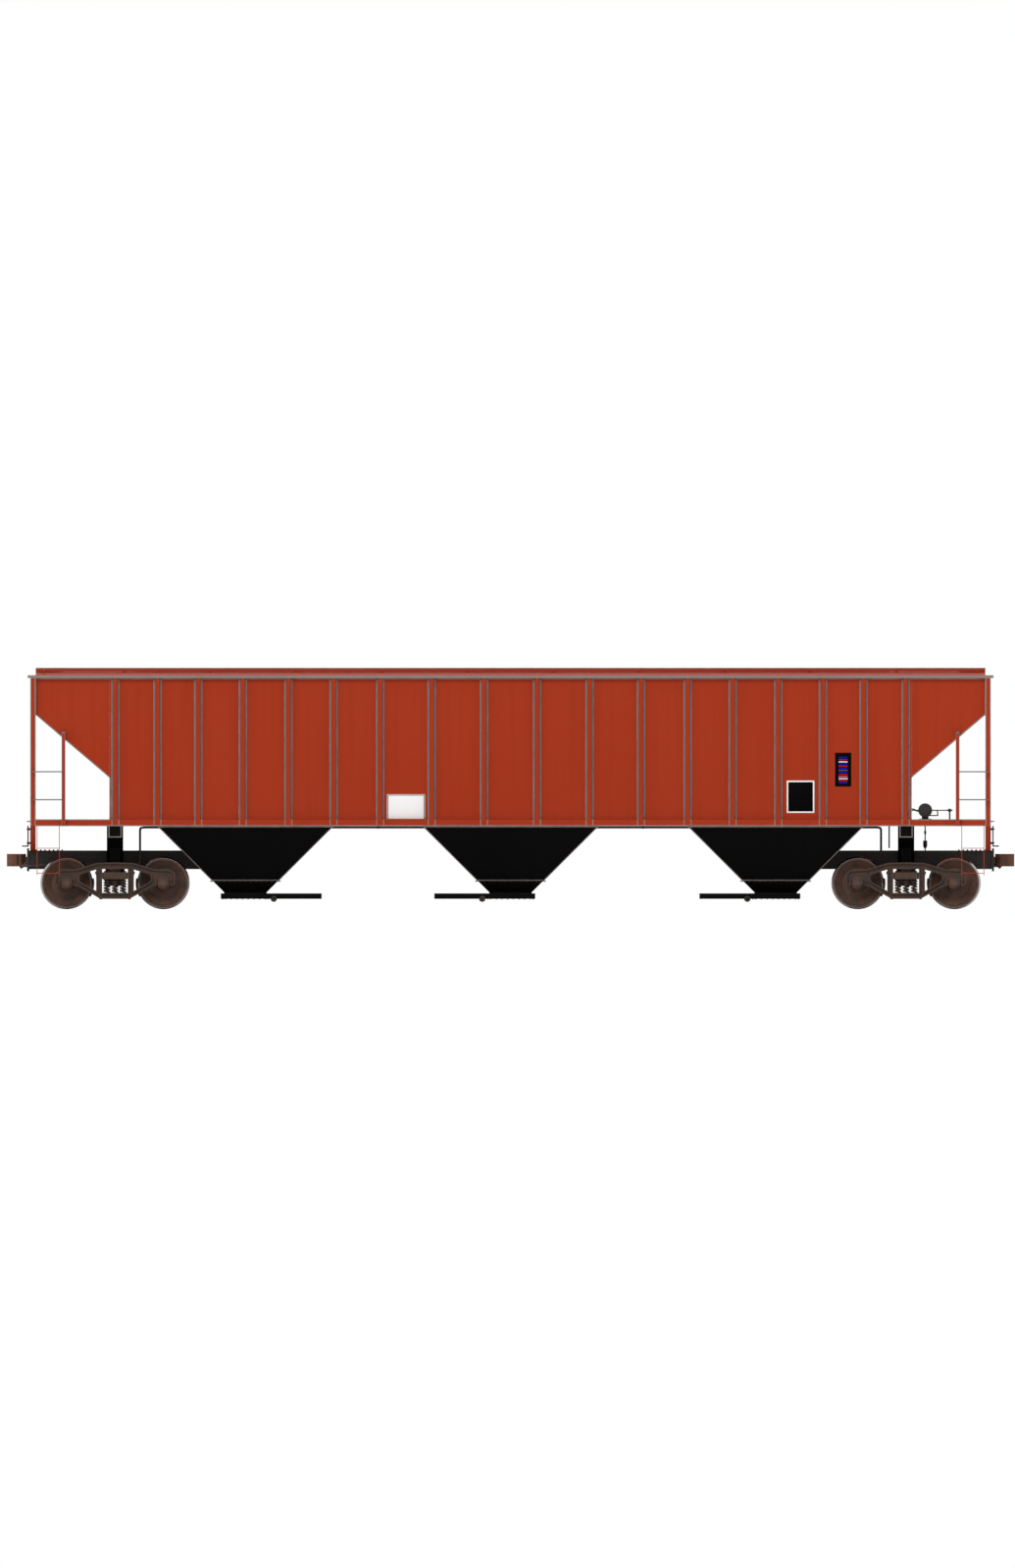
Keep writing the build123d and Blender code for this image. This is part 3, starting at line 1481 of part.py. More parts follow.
# Couplers: a shank in the draft sill with a cast head, and a knuckle that turns on the head's pin
shank_length = 790.0  # from the pivot in the draft gear to the pulling face
head_size = 200.0  # half the head's width
head_half_height = 115.0
lug_inner = 85.0  # underside of the upper lug, from the coupler's middle
knuckle_half_height = 80.0
lug_radius = 62.0
knuckle_hub_radius = 52.0
knuckle_room = 75.0
knuckle_pin_radius = 20.0
pivot_x = pulling_x - shank_length
head_room = pulling_x - draft_end_x - striker_plate
cast_round = 12.0
# Outlines: along the car from the pulling face in shares of the room, then across in shares of the size
head_shares = (
    (-0.94, -0.32), (-0.80, -0.55), (-0.633, -0.80), (-0.20, -0.97), (0.24, -1.02), (0.22, -0.80),
    (-0.053, -0.60), (-0.253, -0.28), (-0.253, 0.30), (-0.32, 0.87), (-0.633, 0.82), (-0.80, 0.55),
    (-0.94, 0.32),
)
shank_end_shares = ((-0.87, -0.32), (-0.87, 0.32))
knuckle_pin_share = (-0.317, 0.56)
nose_shares = (
    (-0.067, 0.86), (0.117, 0.75), (0.217, 0.50), (0.217, 0.0), (0.16, -0.10), (0.047, -0.10), (0.0, 0.0),
    (0.0, 0.25), (-0.06, 0.40),
)
knuckle_arm_shares = ((-0.317, 0.82), (-0.067, 0.86), (-0.06, 0.40), (-0.20, 0.375))


def head_point(shares):
    return (pulling_x + shares[0] * head_room, shares[1] * head_size)


knuckle_pin = head_point(knuckle_pin_share)

with BuildPart() as coupler_casting:
    with BuildSketch(Plane.XY.offset(coupler_z - shank_half)):
        with Locations((pivot_x, 0)):
            Circle(shank_half)
        polygon(
            [
                (pivot_x, -shank_half),
                *[head_point(shares) for shares in shank_end_shares],
                (pivot_x, shank_half),
            ]
        )
    extrude(amount=2 * shank_half)
    with BuildSketch(Plane.XY.offset(coupler_z - head_half_height)) as head_outline:
        polygon([head_point(shares) for shares in head_shares])
        fillet(head_outline.vertices(), cast_round)
        with Locations(knuckle_pin):
            Circle(lug_radius)
    extrude(amount=2 * head_half_height)
    with BuildSketch(Plane.XY.offset(coupler_z - lug_inner)):
        with Locations(knuckle_pin):
            Circle(knuckle_room)
            with Locations((knuckle_room, knuckle_room / 2)):
                Rectangle(2 * knuckle_room, 3 * knuckle_room)
    extrude(amount=2 * lug_inner, mode=Mode.SUBTRACT)
    with BuildSketch(Plane.XY.offset(coupler_z - head_half_height)):
        with Locations(knuckle_pin):
            Circle(knuckle_pin_radius)
    extrude(amount=2 * head_half_height)

with BuildPart() as knuckle_casting:
    with BuildSketch(Plane.XY.offset(coupler_z - lug_inner + seat_gap)):
        with Locations(knuckle_pin):
            Circle(knuckle_hub_radius)
        polygon([head_point(shares) for shares in knuckle_arm_shares])
    extrude(amount=knuckle_half_height + lug_inner - seat_gap)
    with BuildSketch(Plane.XY.offset(coupler_z - head_half_height)) as nose_outline:
        polygon([head_point(shares) for shares in nose_shares])
        fillet(nose_outline.vertices().sort_by(Axis.X)[1:], cast_round / 2)
    extrude(amount=2 * head_half_height)
    with BuildSketch(Plane.XY.offset(coupler_z - head_half_height)):
        with Locations(knuckle_pin):
            Circle(knuckle_pin_radius + bearing_gap)
    extrude(amount=2 * head_half_height, mode=Mode.SUBTRACT)

for end, facing in (("a", 1), ("b", -1)):
    with BuildPart() as coupler:
        add(turned(coupler_casting.part, 0, facing))
    write(coupler, f"coupler_{end}")
    with BuildPart() as knuckle:
        add(turned(knuckle_casting.part, 0, facing))
    write(knuckle, f"knuckle_{end}")
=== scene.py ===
# Covered hopper car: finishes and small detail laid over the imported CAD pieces
# Metres; +X runs along the car, +Y is its left side, +Z is up.
# The camera looks along +Y, as the drawing does.
import math

import bmesh
import bpy
from mathutils import Matrix, Vector


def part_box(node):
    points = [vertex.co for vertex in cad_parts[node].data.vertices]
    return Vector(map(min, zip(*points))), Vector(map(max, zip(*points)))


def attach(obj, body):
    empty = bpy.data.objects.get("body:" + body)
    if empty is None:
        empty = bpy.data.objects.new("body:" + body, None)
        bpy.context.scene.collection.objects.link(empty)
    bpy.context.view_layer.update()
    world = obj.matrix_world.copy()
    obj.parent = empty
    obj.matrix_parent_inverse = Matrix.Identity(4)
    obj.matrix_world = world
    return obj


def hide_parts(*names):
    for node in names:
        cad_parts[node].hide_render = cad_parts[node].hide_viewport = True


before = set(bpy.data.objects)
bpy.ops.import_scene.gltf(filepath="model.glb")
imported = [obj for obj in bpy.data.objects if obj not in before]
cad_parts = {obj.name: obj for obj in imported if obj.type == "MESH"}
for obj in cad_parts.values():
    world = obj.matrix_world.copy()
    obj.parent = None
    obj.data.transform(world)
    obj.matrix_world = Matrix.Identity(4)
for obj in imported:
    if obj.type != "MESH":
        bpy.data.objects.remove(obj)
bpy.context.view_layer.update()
print("frame loaded with", len(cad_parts), "CAD pieces")

scene = bpy.context.scene
scene.view_settings.view_transform = "Standard"

# Places read from the frame
sillLow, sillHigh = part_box("side_sills")
sheetLow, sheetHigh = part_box("right_side_sheets")
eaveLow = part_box("eave_bars")[0]
roofLow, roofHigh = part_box("roof_sheets")
boardLow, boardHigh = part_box("running_boards")
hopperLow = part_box("hopper_sheets")[0]
skinY = sheetHigh.y if sheetHigh.y > 0 else -sheetLow.y
bodyY = sillHigh.y
sillZ = sillLow.z
sillTopZ = sillHigh.z

carPlan = {
    "postPlaces": (0.486, 1.449, 2.394, 3.249, 4.077, 4.914, 5.733, 6.480, 7.254),  # each way from middle
    "postWidth": 0.108,
    "hopperPitch": 4.866,
    "hopperLength": 3.212,
    "throatLength": 1.206,
    "kneeX": 7.364,
    "endWallX": 8.715,
    "truckX": 7.260,
    "wheelbase": 1.778,
    "journalY": 1.003,
    "wheelZ": 0.482,
}


# Camera: flat and square on to the side, as the drawing is
photoFrame = {
    "width": 1035,
    "height": 1599,
    "metresPerPixel": 0.018,
    "carMiddle": 520.6,  # pixel column of the car's middle
    "sillUnderside": 842.5,  # pixel row of the side sill's underside
    "distance": 40.0,
}


def makeCamera(plan):
    lens = bpy.data.cameras.new("drawingCamera")
    lens.type = "ORTHO"
    lens.ortho_scale = plan["height"] * plan["metresPerPixel"]
    lens.clip_end = 400.0
    camera = bpy.data.objects.new("drawingCamera", lens)
    scene.collection.objects.link(camera)
    acrossX = (plan["width"] / 2 - plan["carMiddle"]) * plan["metresPerPixel"]
    upZ = sillZ + (plan["sillUnderside"] - plan["height"] / 2) * plan["metresPerPixel"]
    camera.location = (acrossX, -plan["distance"], upZ)
    camera.rotation_euler = (math.radians(90), 0, 0)
    scene.camera = camera


makeCamera(photoFrame)


# Small helpers for shader trees
def linearColour(red, green, blue):
    # Colours are written as the 0 to 255 values seen on screen
    channels = [value / 255 for value in (red, green, blue)]
    return tuple(c / 12.92 if c <= 0.04045 else ((c + 0.055) / 1.055) ** 2.4 for c in channels) + (1.0,)


def join(tree, value, socket):
    if isinstance(value, bpy.types.NodeSocket):
        tree.links.new(value, socket)
    elif value is not None:
        socket.default_value = value


def addNode(tree, kind, column, row, settings=None, values=None):
    made = tree.nodes.new(kind)
    made.location = (column * 190, row * -170)
    for key, value in (settings or {}).items():
        setattr(made, key, value)
    for key, value in (values or {}).items():
        join(tree, value, made.inputs[key])
    return made


def mixColour(tree, column, row, factor, first, second, blend="MIX"):
    made = addNode(tree, "ShaderNodeMix", column, row, {"data_type": "RGBA", "blend_type": blend})
    join(tree, factor, made.inputs[0])
    join(tree, first, made.inputs[6])
    join(tree, second, made.inputs[7])
    return made.outputs[2]


def maths(tree, column, row, operation, first, second=None, clamp=False):
    made = addNode(tree, "ShaderNodeMath", column, row, {"operation": operation, "use_clamp": clamp})
    join(tree, first, made.inputs[0])
    join(tree, second, made.inputs[1])
    return made.outputs[0]


def remap(tree, column, row, value, low, high, toLow=0.0, toHigh=1.0):
    made = addNode(tree, "ShaderNodeMapRange", column, row, {"clamp": True})
    join(tree, value, made.inputs["Value"])
    for key, number in (("From Min", low), ("From Max", high), ("To Min", toLow), ("To Max", toHigh)):
        join(tree, number, made.inputs[key])
    return made.outputs["Result"]


def objectPlace(tree, column, row):
    return addNode(tree, "ShaderNodeTexCoord", column, row).outputs["Object"]


def splitPlace(tree, column, row):
    place = objectPlace(tree, column - 1, row)
    return addNode(tree, "ShaderNodeSeparateXYZ", column, row, values={"Vector": place}).outputs


def noise(tree, column, row, place, scale, detail=3.0, stretch=(1, 1, 1)):
    mapping = addNode(tree, "ShaderNodeMapping", column, row, values={"Vector": place, "Scale": stretch})
    made = addNode(tree, "ShaderNodeTexNoise", column + 1, row, values={"Vector": mapping.outputs[0]})
    join(tree, scale, made.inputs["Scale"])
    join(tree, detail, made.inputs["Detail"])
    return made.outputs["Fac"]


def newGroup(name, inputs, outputs):
    group = bpy.data.node_groups.new(name, "ShaderNodeTree")
    for socketName, kind, value in inputs:
        socket = group.interface.new_socket(name=socketName, in_out="INPUT", socket_type=f"NodeSocket{kind}")
        socket.default_value = value
    for socketName, kind in outputs:
        group.interface.new_socket(name=socketName, in_out="OUTPUT", socket_type=f"NodeSocket{kind}")
    entry = addNode(group, "NodeGroupInput", -2, 0)
    leave = addNode(group, "NodeGroupOutput", 9, 0)
    return group, entry.outputs, leave.inputs


# Shared effect: paint that has faded in broad patches, run in faint streaks and gathered dust low down
def buildPaintWeather():
    tree, given, put = newGroup(
        "paintWeather",
        [
            ("Paint", "Color", (0.5, 0.1, 0.05, 1)),
            ("Faded", "Color", (0.5, 0.2, 0.1, 1)),
            ("Dust", "Color", (0.3, 0.25, 0.2, 1)),
            ("Fade Amount", "Float", 0.3),
            ("Streak Amount", "Float", 0.2),
            ("Dust Amount", "Float", 0.3),
            ("Dust Top", "Float", 1.5),
            ("Gloss Roughness", "Float", 0.4),
        ],
        [("Color", "Color"), ("Roughness", "Float"), ("Height", "Float")],
    )
    place = objectPlace(tree, -1, 2)
    broad = remap(tree, 2, 1, noise(tree, 0, 1, place, 0.55, 4.0), 0.38, 0.66)
    fade = maths(tree, 3, 1, "MULTIPLY", broad, given["Fade Amount"])
    streaks = remap(tree, 2, 2, noise(tree, 0, 2, place, 1.4, 4.0, (6, 6, 0.22)), 0.52, 0.78)
    run = maths(tree, 3, 2, "MULTIPLY", streaks, given["Streak Amount"])
    height = addNode(tree, "ShaderNodeSeparateXYZ", 0, 3, values={"Vector": place}).outputs["Z"]
    low = remap(tree, 2, 3, maths(tree, 1, 3, "DIVIDE", height, given["Dust Top"]), 0.15, 1.0, 1.0, 0.0)
    patches = remap(tree, 2, 4, noise(tree, 0, 4, place, 3.2, 6.0), 0.3, 0.7)
    dust = maths(tree, 4, 3, "MULTIPLY", maths(tree, 3, 3, "MULTIPLY", low, patches), given["Dust Amount"])
    faded = mixColour(tree, 5, 1, fade, given["Paint"], given["Faded"])
    darker = mixColour(tree, 5, 2, 0.62, given["Paint"], (0, 0, 0, 1))
    streaked = mixColour(tree, 6, 1, run, faded, darker)
    join(tree, mixColour(tree, 7, 1, dust, streaked, given["Dust"]), put["Color"])
    grain = noise(tree, 0, 5, place, 42.0, 2.0)
    rough = maths(tree, 6, 4, "ADD", given["Gloss Roughness"], maths(tree, 5, 4, "MULTIPLY", fade, 0.25))
    rough = maths(tree, 7, 4, "ADD", rough, maths(tree, 6, 5, "MULTIPLY", dust, 0.4))
    uneven = maths(tree, 7, 5, "MULTIPLY", maths(tree, 6, 6, "SUBTRACT", grain, 0.5), 0.12)
    join(tree, maths(tree, 8, 4, "ADD", rough, uneven), put["Roughness"])
    waves = noise(tree, 0, 6, place, 1.1, 1.0)
    join(tree, maths(tree, 8, 6, "ADD", waves, maths(tree, 7, 6, "MULTIPLY", grain, 0.03)), put["Height"])
    return tree


# Shared effect: paint rubbed off the edges, broken up by noise
def buildEdgeWear():
    tree, given, put = newGroup(
        "edgeWear",
        [("Width", "Float", 0.006), ("Amount", "Float", 0.5), ("Breakup Scale", "Float", 9.0)],
        [("Mask", "Float")],
    )
    rounded = addNode(tree, "ShaderNodeBevel", 0, 0, {"samples": 4}, {"Radius": given["Width"]})
    flat = addNode(tree, "ShaderNodeNewGeometry", 0, 1)
    same = addNode(tree, "ShaderNodeVectorMath", 1, 0, {"operation": "DOT_PRODUCT"})
    join(tree, rounded.outputs["Normal"], same.inputs[0])
    join(tree, flat.outputs["Normal"], same.inputs[1])
    edge = remap(tree, 2, 0, same.outputs["Value"], 0.97, 0.80)
    patches = noise(tree, 0, 2, objectPlace(tree, -1, 2), given["Breakup Scale"], 5.0)
    breakup = remap(tree, 2, 2, patches, 0.35, 0.6)
    worn = maths(tree, 3, 0, "MULTIPLY", edge, breakup)
    join(tree, maths(tree, 4, 0, "MULTIPLY", worn, given["Amount"]), put["Mask"])
    return tree


# Shared effect: sand-cast skin, with fine grain, pits and a mottled tone
def buildCastGrain():
    tree, given, put = newGroup(
        "castGrain",
        [("Scale", "Float", 90.0), ("Pits", "Float", 0.5)],
        [("Height", "Float"), ("Tone", "Float")],
    )
    place = objectPlace(tree, -1, 0)
    fine = noise(tree, 0, 0, place, given["Scale"], 4.0)
    cells = addNode(tree, "ShaderNodeTexVoronoi", 1, 1, values={"Vector": place})
    join(tree, maths(tree, 0, 1, "MULTIPLY", given["Scale"], 0.35), cells.inputs["Scale"])
    hollows = remap(tree, 2, 1, cells.outputs["Distance"], 0.0, 0.25)
    pits = maths(tree, 3, 1, "MULTIPLY", hollows, given["Pits"])
    join(tree, maths(tree, 4, 0, "ADD", fine, pits), put["Height"])
    join(tree, remap(tree, 3, 2, noise(tree, 0, 2, place, 6.0, 6.0), 0.3, 0.72), put["Tone"])
    return tree


effects = {"weather": buildPaintWeather(), "edges": buildEdgeWear(), "cast": buildCastGrain()}


def addEffect(tree, effect, column, row, values):
    made = addNode(tree, "ShaderNodeGroup", column, row, {"node_tree": effects[effect]})
    for key, value in values.items():
        join(tree, value, made.inputs[key])
    return made.outputs


def newMaterial(name, metallic=0.0, specular=0.5):
    material = bpy.data.materials.new(name)
    material.use_nodes = True
    tree = material.node_tree
    shader = tree.nodes["Principled BSDF"]
    shader.inputs["Metallic"].default_value = metallic
    shader.inputs["Specular IOR Level"].default_value = specular
    return material, tree, shader.inputs


def addBump(tree, sockets, height, distance, strength=1.0):
    bump = addNode(tree, "ShaderNodeBump", -1, 3, values={"Strength": strength, "Distance": distance})
    join(tree, height, bump.inputs["Height"])
    join(tree, bump.outputs["Normal"], sockets["Normal"])


# Paints: colours as the drawing has them, with a little age
paintFinishes = {
    "bodyRed": {
        "paint": (161, 48, 16), "faded": (165, 56, 26), "dust": (136, 96, 70),
        "fade": 0.4, "streaks": 0.14, "dustAmount": 0.16, "dustTop": 1.8,
        "rough": 0.5, "specular": 0.12, "wear": 0.45, "bare": (118, 92, 80), "waves": 0.010,
    },
    "roofRed": {
        "paint": (160, 48, 18), "faded": (168, 66, 40), "dust": (150, 128, 106),
        "fade": 0.5, "streaks": 0.10, "dustAmount": 0.0, "dustTop": 1.0,
        "rough": 0.55, "specular": 0.10, "wear": 0.5, "bare": (128, 108, 96), "waves": 0.008,
    },
    "eaveGrey": {
        "paint": (136, 116, 110), "faded": (146, 130, 124), "dust": (120, 108, 98),
        "fade": 0.5, "streaks": 0.2, "dustAmount": 0.0, "dustTop": 1.0,
        "rough": 0.5, "specular": 0.35, "wear": 0.4, "bare": (164, 58, 32), "waves": 0.0,
    },
    "hopperBlack": {
        "paint": (3, 3, 3), "faded": (10, 9, 9), "dust": (40, 35, 31),
        "fade": 0.5, "streaks": 0.1, "dustAmount": 0.08, "dustTop": 1.0,
        "rough": 0.6, "specular": 0.06, "wear": 0.6, "bare": (92, 84, 80), "waves": 0.006,
    },
    "brakeBlack": {
        "paint": (22, 21, 21), "faded": (44, 41, 39), "dust": (84, 72, 62),
        "fade": 0.5, "streaks": 0.2, "dustAmount": 0.35, "dustTop": 2.6,
        "rough": 0.5, "specular": 0.35, "wear": 0.7, "bare": (104, 96, 90), "waves": 0.0,
    },
}


def paintMaterial(name, finish):
    material, tree, sockets = newMaterial(name, specular=finish["specular"])
    weather = addEffect(
        tree, "weather", -4, 0,
        {
            "Paint": linearColour(*finish["paint"]),
            "Faded": linearColour(*finish["faded"]),
            "Dust": linearColour(*finish["dust"]),
            "Fade Amount": finish["fade"],
            "Streak Amount": finish["streaks"],
            "Dust Amount": finish["dustAmount"],
            "Dust Top": finish["dustTop"],
            "Gloss Roughness": finish["rough"],
        },
    )
    wear = addEffect(tree, "edges", -4, 2, {"Width": 0.007, "Amount": finish["wear"], "Breakup Scale": 7.0})
    colour = mixColour(tree, -2, 0, wear["Mask"], weather["Color"], linearColour(*finish["bare"]))
    join(tree, colour, sockets["Base Color"])
    join(tree, weather["Roughness"], sockets["Roughness"])
    if finish["waves"]:
        addBump(tree, sockets, weather["Height"], finish["waves"])
    return material, tree, sockets, colour


# Metals: base and mottle colour, metallic, roughness, grain scale, depth of the grain in metres
metalFinishes = {
    "galvanised": ((150, 152, 152), (118, 121, 122), 0.85, 0.42, 26.0, 0.0006),
    "castSteel": ((52, 43, 38), (88, 62, 48), 0.25, 0.72, 95.0, 0.0022),
    "couplerSteel": ((78, 54, 42), (122, 76, 52), 0.3, 0.68, 85.0, 0.0022),
    "springSteel": ((46, 42, 40), (84, 62, 50), 0.5, 0.5, 120.0, 0.0008),
    "gateSteel": ((112, 108, 104), (98, 74, 60), 0.75, 0.46, 60.0, 0.0006),
    "gearSteel": ((62, 58, 55), (34, 31, 29), 0.7, 0.4, 70.0, 0.0006),
    "boltSteel": ((70, 66, 63), (104, 76, 60), 0.6, 0.5, 140.0, 0.0004),
    "seamGrey": ((139, 131, 128), (120, 110, 104), 0.1, 0.6, 160.0, 0.0012),
    "pipeSteel": ((44, 42, 41), (78, 64, 54), 0.3, 0.55, 90.0, 0.0005),
}


def metalMaterial(name, finish):
    base, mottle, metallic, roughness, grain, depth = finish
    material, tree, sockets = newMaterial(name, metallic=metallic)
    cast = addEffect(tree, "cast", -4, 0, {"Scale": grain, "Pits": 0.35})
    wear = addEffect(tree, "edges", -4, 2, {"Width": 0.004, "Amount": 0.5, "Breakup Scale": 14.0})
    mottled = mixColour(tree, -3, 0, cast["Tone"], linearColour(*base), linearColour(*mottle))
    brighter = mixColour(tree, -3, 1, 0.35, linearColour(*base), (0.55, 0.53, 0.5, 1))
    join(tree, mixColour(tree, -2, 0, wear["Mask"], mottled, brighter), sockets["Base Color"])
    roughTone = remap(tree, -2, 1, cast["Tone"], 0.0, 1.0, roughness - 0.06, roughness + 0.14)
    join(tree, roughTone, sockets["Roughness"])
    addBump(tree, sockets, cast["Height"], depth)
    return material


materials = {name: paintMaterial(name, finish)[0] for name, finish in paintFinishes.items()}
materials |= {name: metalMaterial(name, finish) for name, finish in metalFinishes.items()}


# Posts: red, with the sealed flanges along the side sheets left grey as the drawing outlines them
postPlan = {"flangeReach": 0.0068, "sealant": (139, 131, 128)}  # metres out from the side sheets


def postMaterial(plan):
    material, tree, sockets, colour = paintMaterial("postRed", paintFinishes["bodyRed"])
    away = maths(tree, -4, 4, "ABSOLUTE", splitPlace(tree, -5, 4)["Y"])
    flange = maths(tree, -3, 4, "LESS_THAN", away, skinY + plan["flangeReach"])
    join(tree, mixColour(tree, -1, 0, flange, colour, linearColour(*plan["sealant"])), sockets["Base Color"])
    return material


# Ladders: red stiles with grey edges, and rungs polished to bare metal by boots and gloves
ladderPlan = {"stileX": 8.206, "redHalf": 0.0245, "redTop": 3.226, "bare": (112, 108, 106)}


def ladderMaterial(plan):
    material, tree, sockets, colour = paintMaterial("ladderRed", paintFinishes["bodyRed"])
    place = splitPlace(tree, -7, 4)
    along = maths(tree, -5, 4, "ABSOLUTE", place["X"])
    offset = maths(tree, -4, 4, "ABSOLUTE", maths(tree, -5, 5, "SUBTRACT", along, plan["stileX"]))
    edge = maths(tree, -3, 4, "GREATER_THAN", offset, plan["redHalf"])
    top = maths(tree, -3, 5, "GREATER_THAN", place["Z"], plan["redTop"])
    grey = maths(tree, -2, 4, "MAXIMUM", edge, top)
    join(tree, mixColour(tree, -1, 0, grey, colour, linearColour(*plan["bare"])), sockets["Base Color"])
    return material


# Wheels: rusty plate and hub, with the tread and flange rolled bright
wheelPlan = {
    "plateRadius": 0.447, "treadRadius": 0.452,
    "rust": ((64, 48, 40), (96, 66, 50)), "bright": (176, 174, 172),
    "grain": 80.0, "depth": 0.0012, "rustRough": 0.75, "treadRough": 0.22,
}


def wheelMaterial(plan):
    material, tree, sockets = newMaterial("wheelSteel")
    place = splitPlace(tree, -12, 0)
    along = maths(tree, -11, 1, "ABSOLUTE", place["X"])
    fromTruck = maths(tree, -10, 0, "ABSOLUTE", maths(tree, -11, 0, "SUBTRACT", along, carPlan["truckX"]))
    fromAxle = maths(tree, -9, 0, "SUBTRACT", fromTruck, carPlan["wheelbase"] / 2)
    up = maths(tree, -9, 1, "SUBTRACT", place["Z"], carPlan["wheelZ"])
    acrossSquare, upSquare = (maths(tree, -8, row, "MULTIPLY", v, v) for row, v in enumerate((fromAxle, up)))
    radius = maths(tree, -6, 0, "SQRT", maths(tree, -7, 0, "ADD", acrossSquare, upSquare))
    tread = remap(tree, -5, 0, radius, plan["plateRadius"], plan["treadRadius"])
    cast = addEffect(tree, "cast", -5, 2, {"Scale": plan["grain"], "Pits": 0.3})
    rust = mixColour(tree, -4, 1, cast["Tone"], *(linearColour(*shade) for shade in plan["rust"]))
    join(tree, mixColour(tree, -3, 0, tread, rust, linearColour(*plan["bright"])), sockets["Base Color"])
    roughTread = remap(tree, -3, 1, tread, 0.0, 1.0, plan["rustRough"], plan["treadRough"])
    join(tree, roughTread, sockets["Roughness"])
    join(tree, remap(tree, -3, 2, tread, 0.0, 1.0, 0.2, 1.0), sockets["Metallic"])
    addBump(tree, sockets, cast["Height"], plan["depth"])
    return material


# Blank enamel for the plates and panels
enamelPlan = {
    "specular": 0.03, "rough": 0.45, "fade": 0.25, "streaks": 0.05, "fadedShare": 0.96, "fadedLift": 5,
}


def enamelMaterial(name, colour, plan):
    material, tree, sockets = newMaterial(name, specular=plan["specular"])
    weather = addEffect(
        tree, "weather", -4, 0,
        {
            "Paint": linearColour(*colour),
            "Faded": linearColour(*[value * plan["fadedShare"] + plan["fadedLift"] for value in colour]),
            "Fade Amount": plan["fade"],
            "Streak Amount": plan["streaks"],
            "Dust Amount": 0.0,
            "Gloss Roughness": plan["rough"],
        },
    )
    join(tree, weather["Color"], sockets["Base Color"])
    join(tree, weather["Roughness"], sockets["Roughness"])
    return material


materials["postRed"] = postMaterial(postPlan)
materials["ladderRed"] = ladderMaterial(ladderPlan)
materials["wheelSteel"] = wheelMaterial(wheelPlan)
enamels = {
    "panelWhite": (246, 246, 245), "panelBlack": (3, 3, 3),
    "labelRed": (196, 20, 24), "labelBlue": (18, 24, 190),
    "labelWhite": (232, 224, 228), "labelRose": (214, 96, 110), "labelGrey": (92, 86, 90),
}
for enamelName, enamelColour in enamels.items():
    materials[enamelName] = enamelMaterial(enamelName, enamelColour, enamelPlan)
print("materials made:", len(materials))

# Which finish each CAD piece wears
nodeFinishes = {
    "bodyRed": ["left_side_sheets", "right_side_sheets", "side_sills", "end_posts", "end_walls",
                "end_slope_sheets", "end_sills", "end_decks", "ridge_sheets", "bay_dividers",
                "end_ladders", "sill_steps"],
    "postRed": ["side_posts"],
    "ladderRed": ["side_ladders"],
    "eaveGrey": ["eave_bars"],
    "roofRed": ["roof_sheets", "hatch_coaming", "board_brackets", "hatch_cover_1", "hatch_cover_2",
                "hatch_cover_3", "hatch_cover_4", "running_boards"],
    "hopperBlack": ["hopper_sheets", "outlet_funnels", "jacking_pads", "gate_rails", "boot_rings",
                    "body_bolsters"],
    "brakeBlack": ["air_reservoir", "brake_cylinder", "control_valve", "hand_brake", "uncoupling_levers",
                   "draft_sills"],
    "gateSteel": ["outlet_gate_1", "outlet_gate_2", "outlet_gate_3"],
    "gearSteel": ["gate_shaft_1", "gate_shaft_2", "gate_shaft_3"],
    "castSteel": ["truck_a_side_frames", "truck_b_side_frames", "truck_a_bolster", "truck_b_bolster",
                  "truck_a_brake_beams", "truck_b_brake_beams"],
    "springSteel": ["truck_a_springs", "truck_b_springs"],
    "couplerSteel": ["coupler_a", "coupler_b", "knuckle_a", "knuckle_b"],
    "wheelSteel": ["wheelset_1", "wheelset_2", "wheelset_3", "wheelset_4"],
}
for finishName, nodeNames in nodeFinishes.items():
    for nodeName in nodeNames:
        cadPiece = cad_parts[nodeName]
        if not cadPiece.material_slots:
            cadPiece.data.materials.append(None)
        for cadSlot in cadPiece.material_slots:
            cadSlot.material = materials[finishName]
missing = set(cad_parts) - {name for names in nodeFinishes.values() for name in names}
print("CAD pieces finished; left over:", sorted(missing))


# Small helpers for meshes
def addBlock(bm, low, high, bevel=0.0):
    made = bmesh.ops.create_cube(bm, size=1.0)["verts"]
    low, high = Vector(low), Vector(high)
    bmesh.ops.scale(bm, vec=high - low, verts=made)
    bmesh.ops.translate(bm, vec=(low + high) / 2, verts=made)
    if bevel:
        edges = list(dict.fromkeys(edge for vert in made for edge in vert.link_edges))
        bmesh.ops.bevel(bm, geom=edges, offset=bevel, segments=2, profile=0.5, affect="EDGES", material=-1)


def paintNew(bm, before, index):
    for face in set(bm.faces) - before:
        face.material_index = index


def addRod(bm, start, end, radius, sides=10, tip=1.0):
    start, end = Vector(start), Vector(end)
    turn = (end - start).to_track_quat("Z", "Y").to_matrix().to_4x4()
    bmesh.ops.create_cone(
        bm, cap_ends=True, segments=sides, radius1=radius, radius2=radius * tip, depth=(end - start).length,
        matrix=Matrix.Translation((start + end) / 2) @ turn,
    )


def addBead(bm, start, end, outward, width, height, sides=8):
    # A flattened round bead from start to end, standing proud towards outward
    start, end, outward = Vector(start), Vector(end), Vector(outward).normalized()
    along = (end - start).normalized()
    across = outward.cross(along).normalized()
    turn = Matrix((across * width / 2, outward * height, along * (end - start).length)).transposed().to_4x4()
    bmesh.ops.create_cone(
        bm, cap_ends=True, segments=sides, radius1=1.0, radius2=1.0, depth=1.0,
        matrix=Matrix.Translation((start + end) / 2) @ turn,
    )


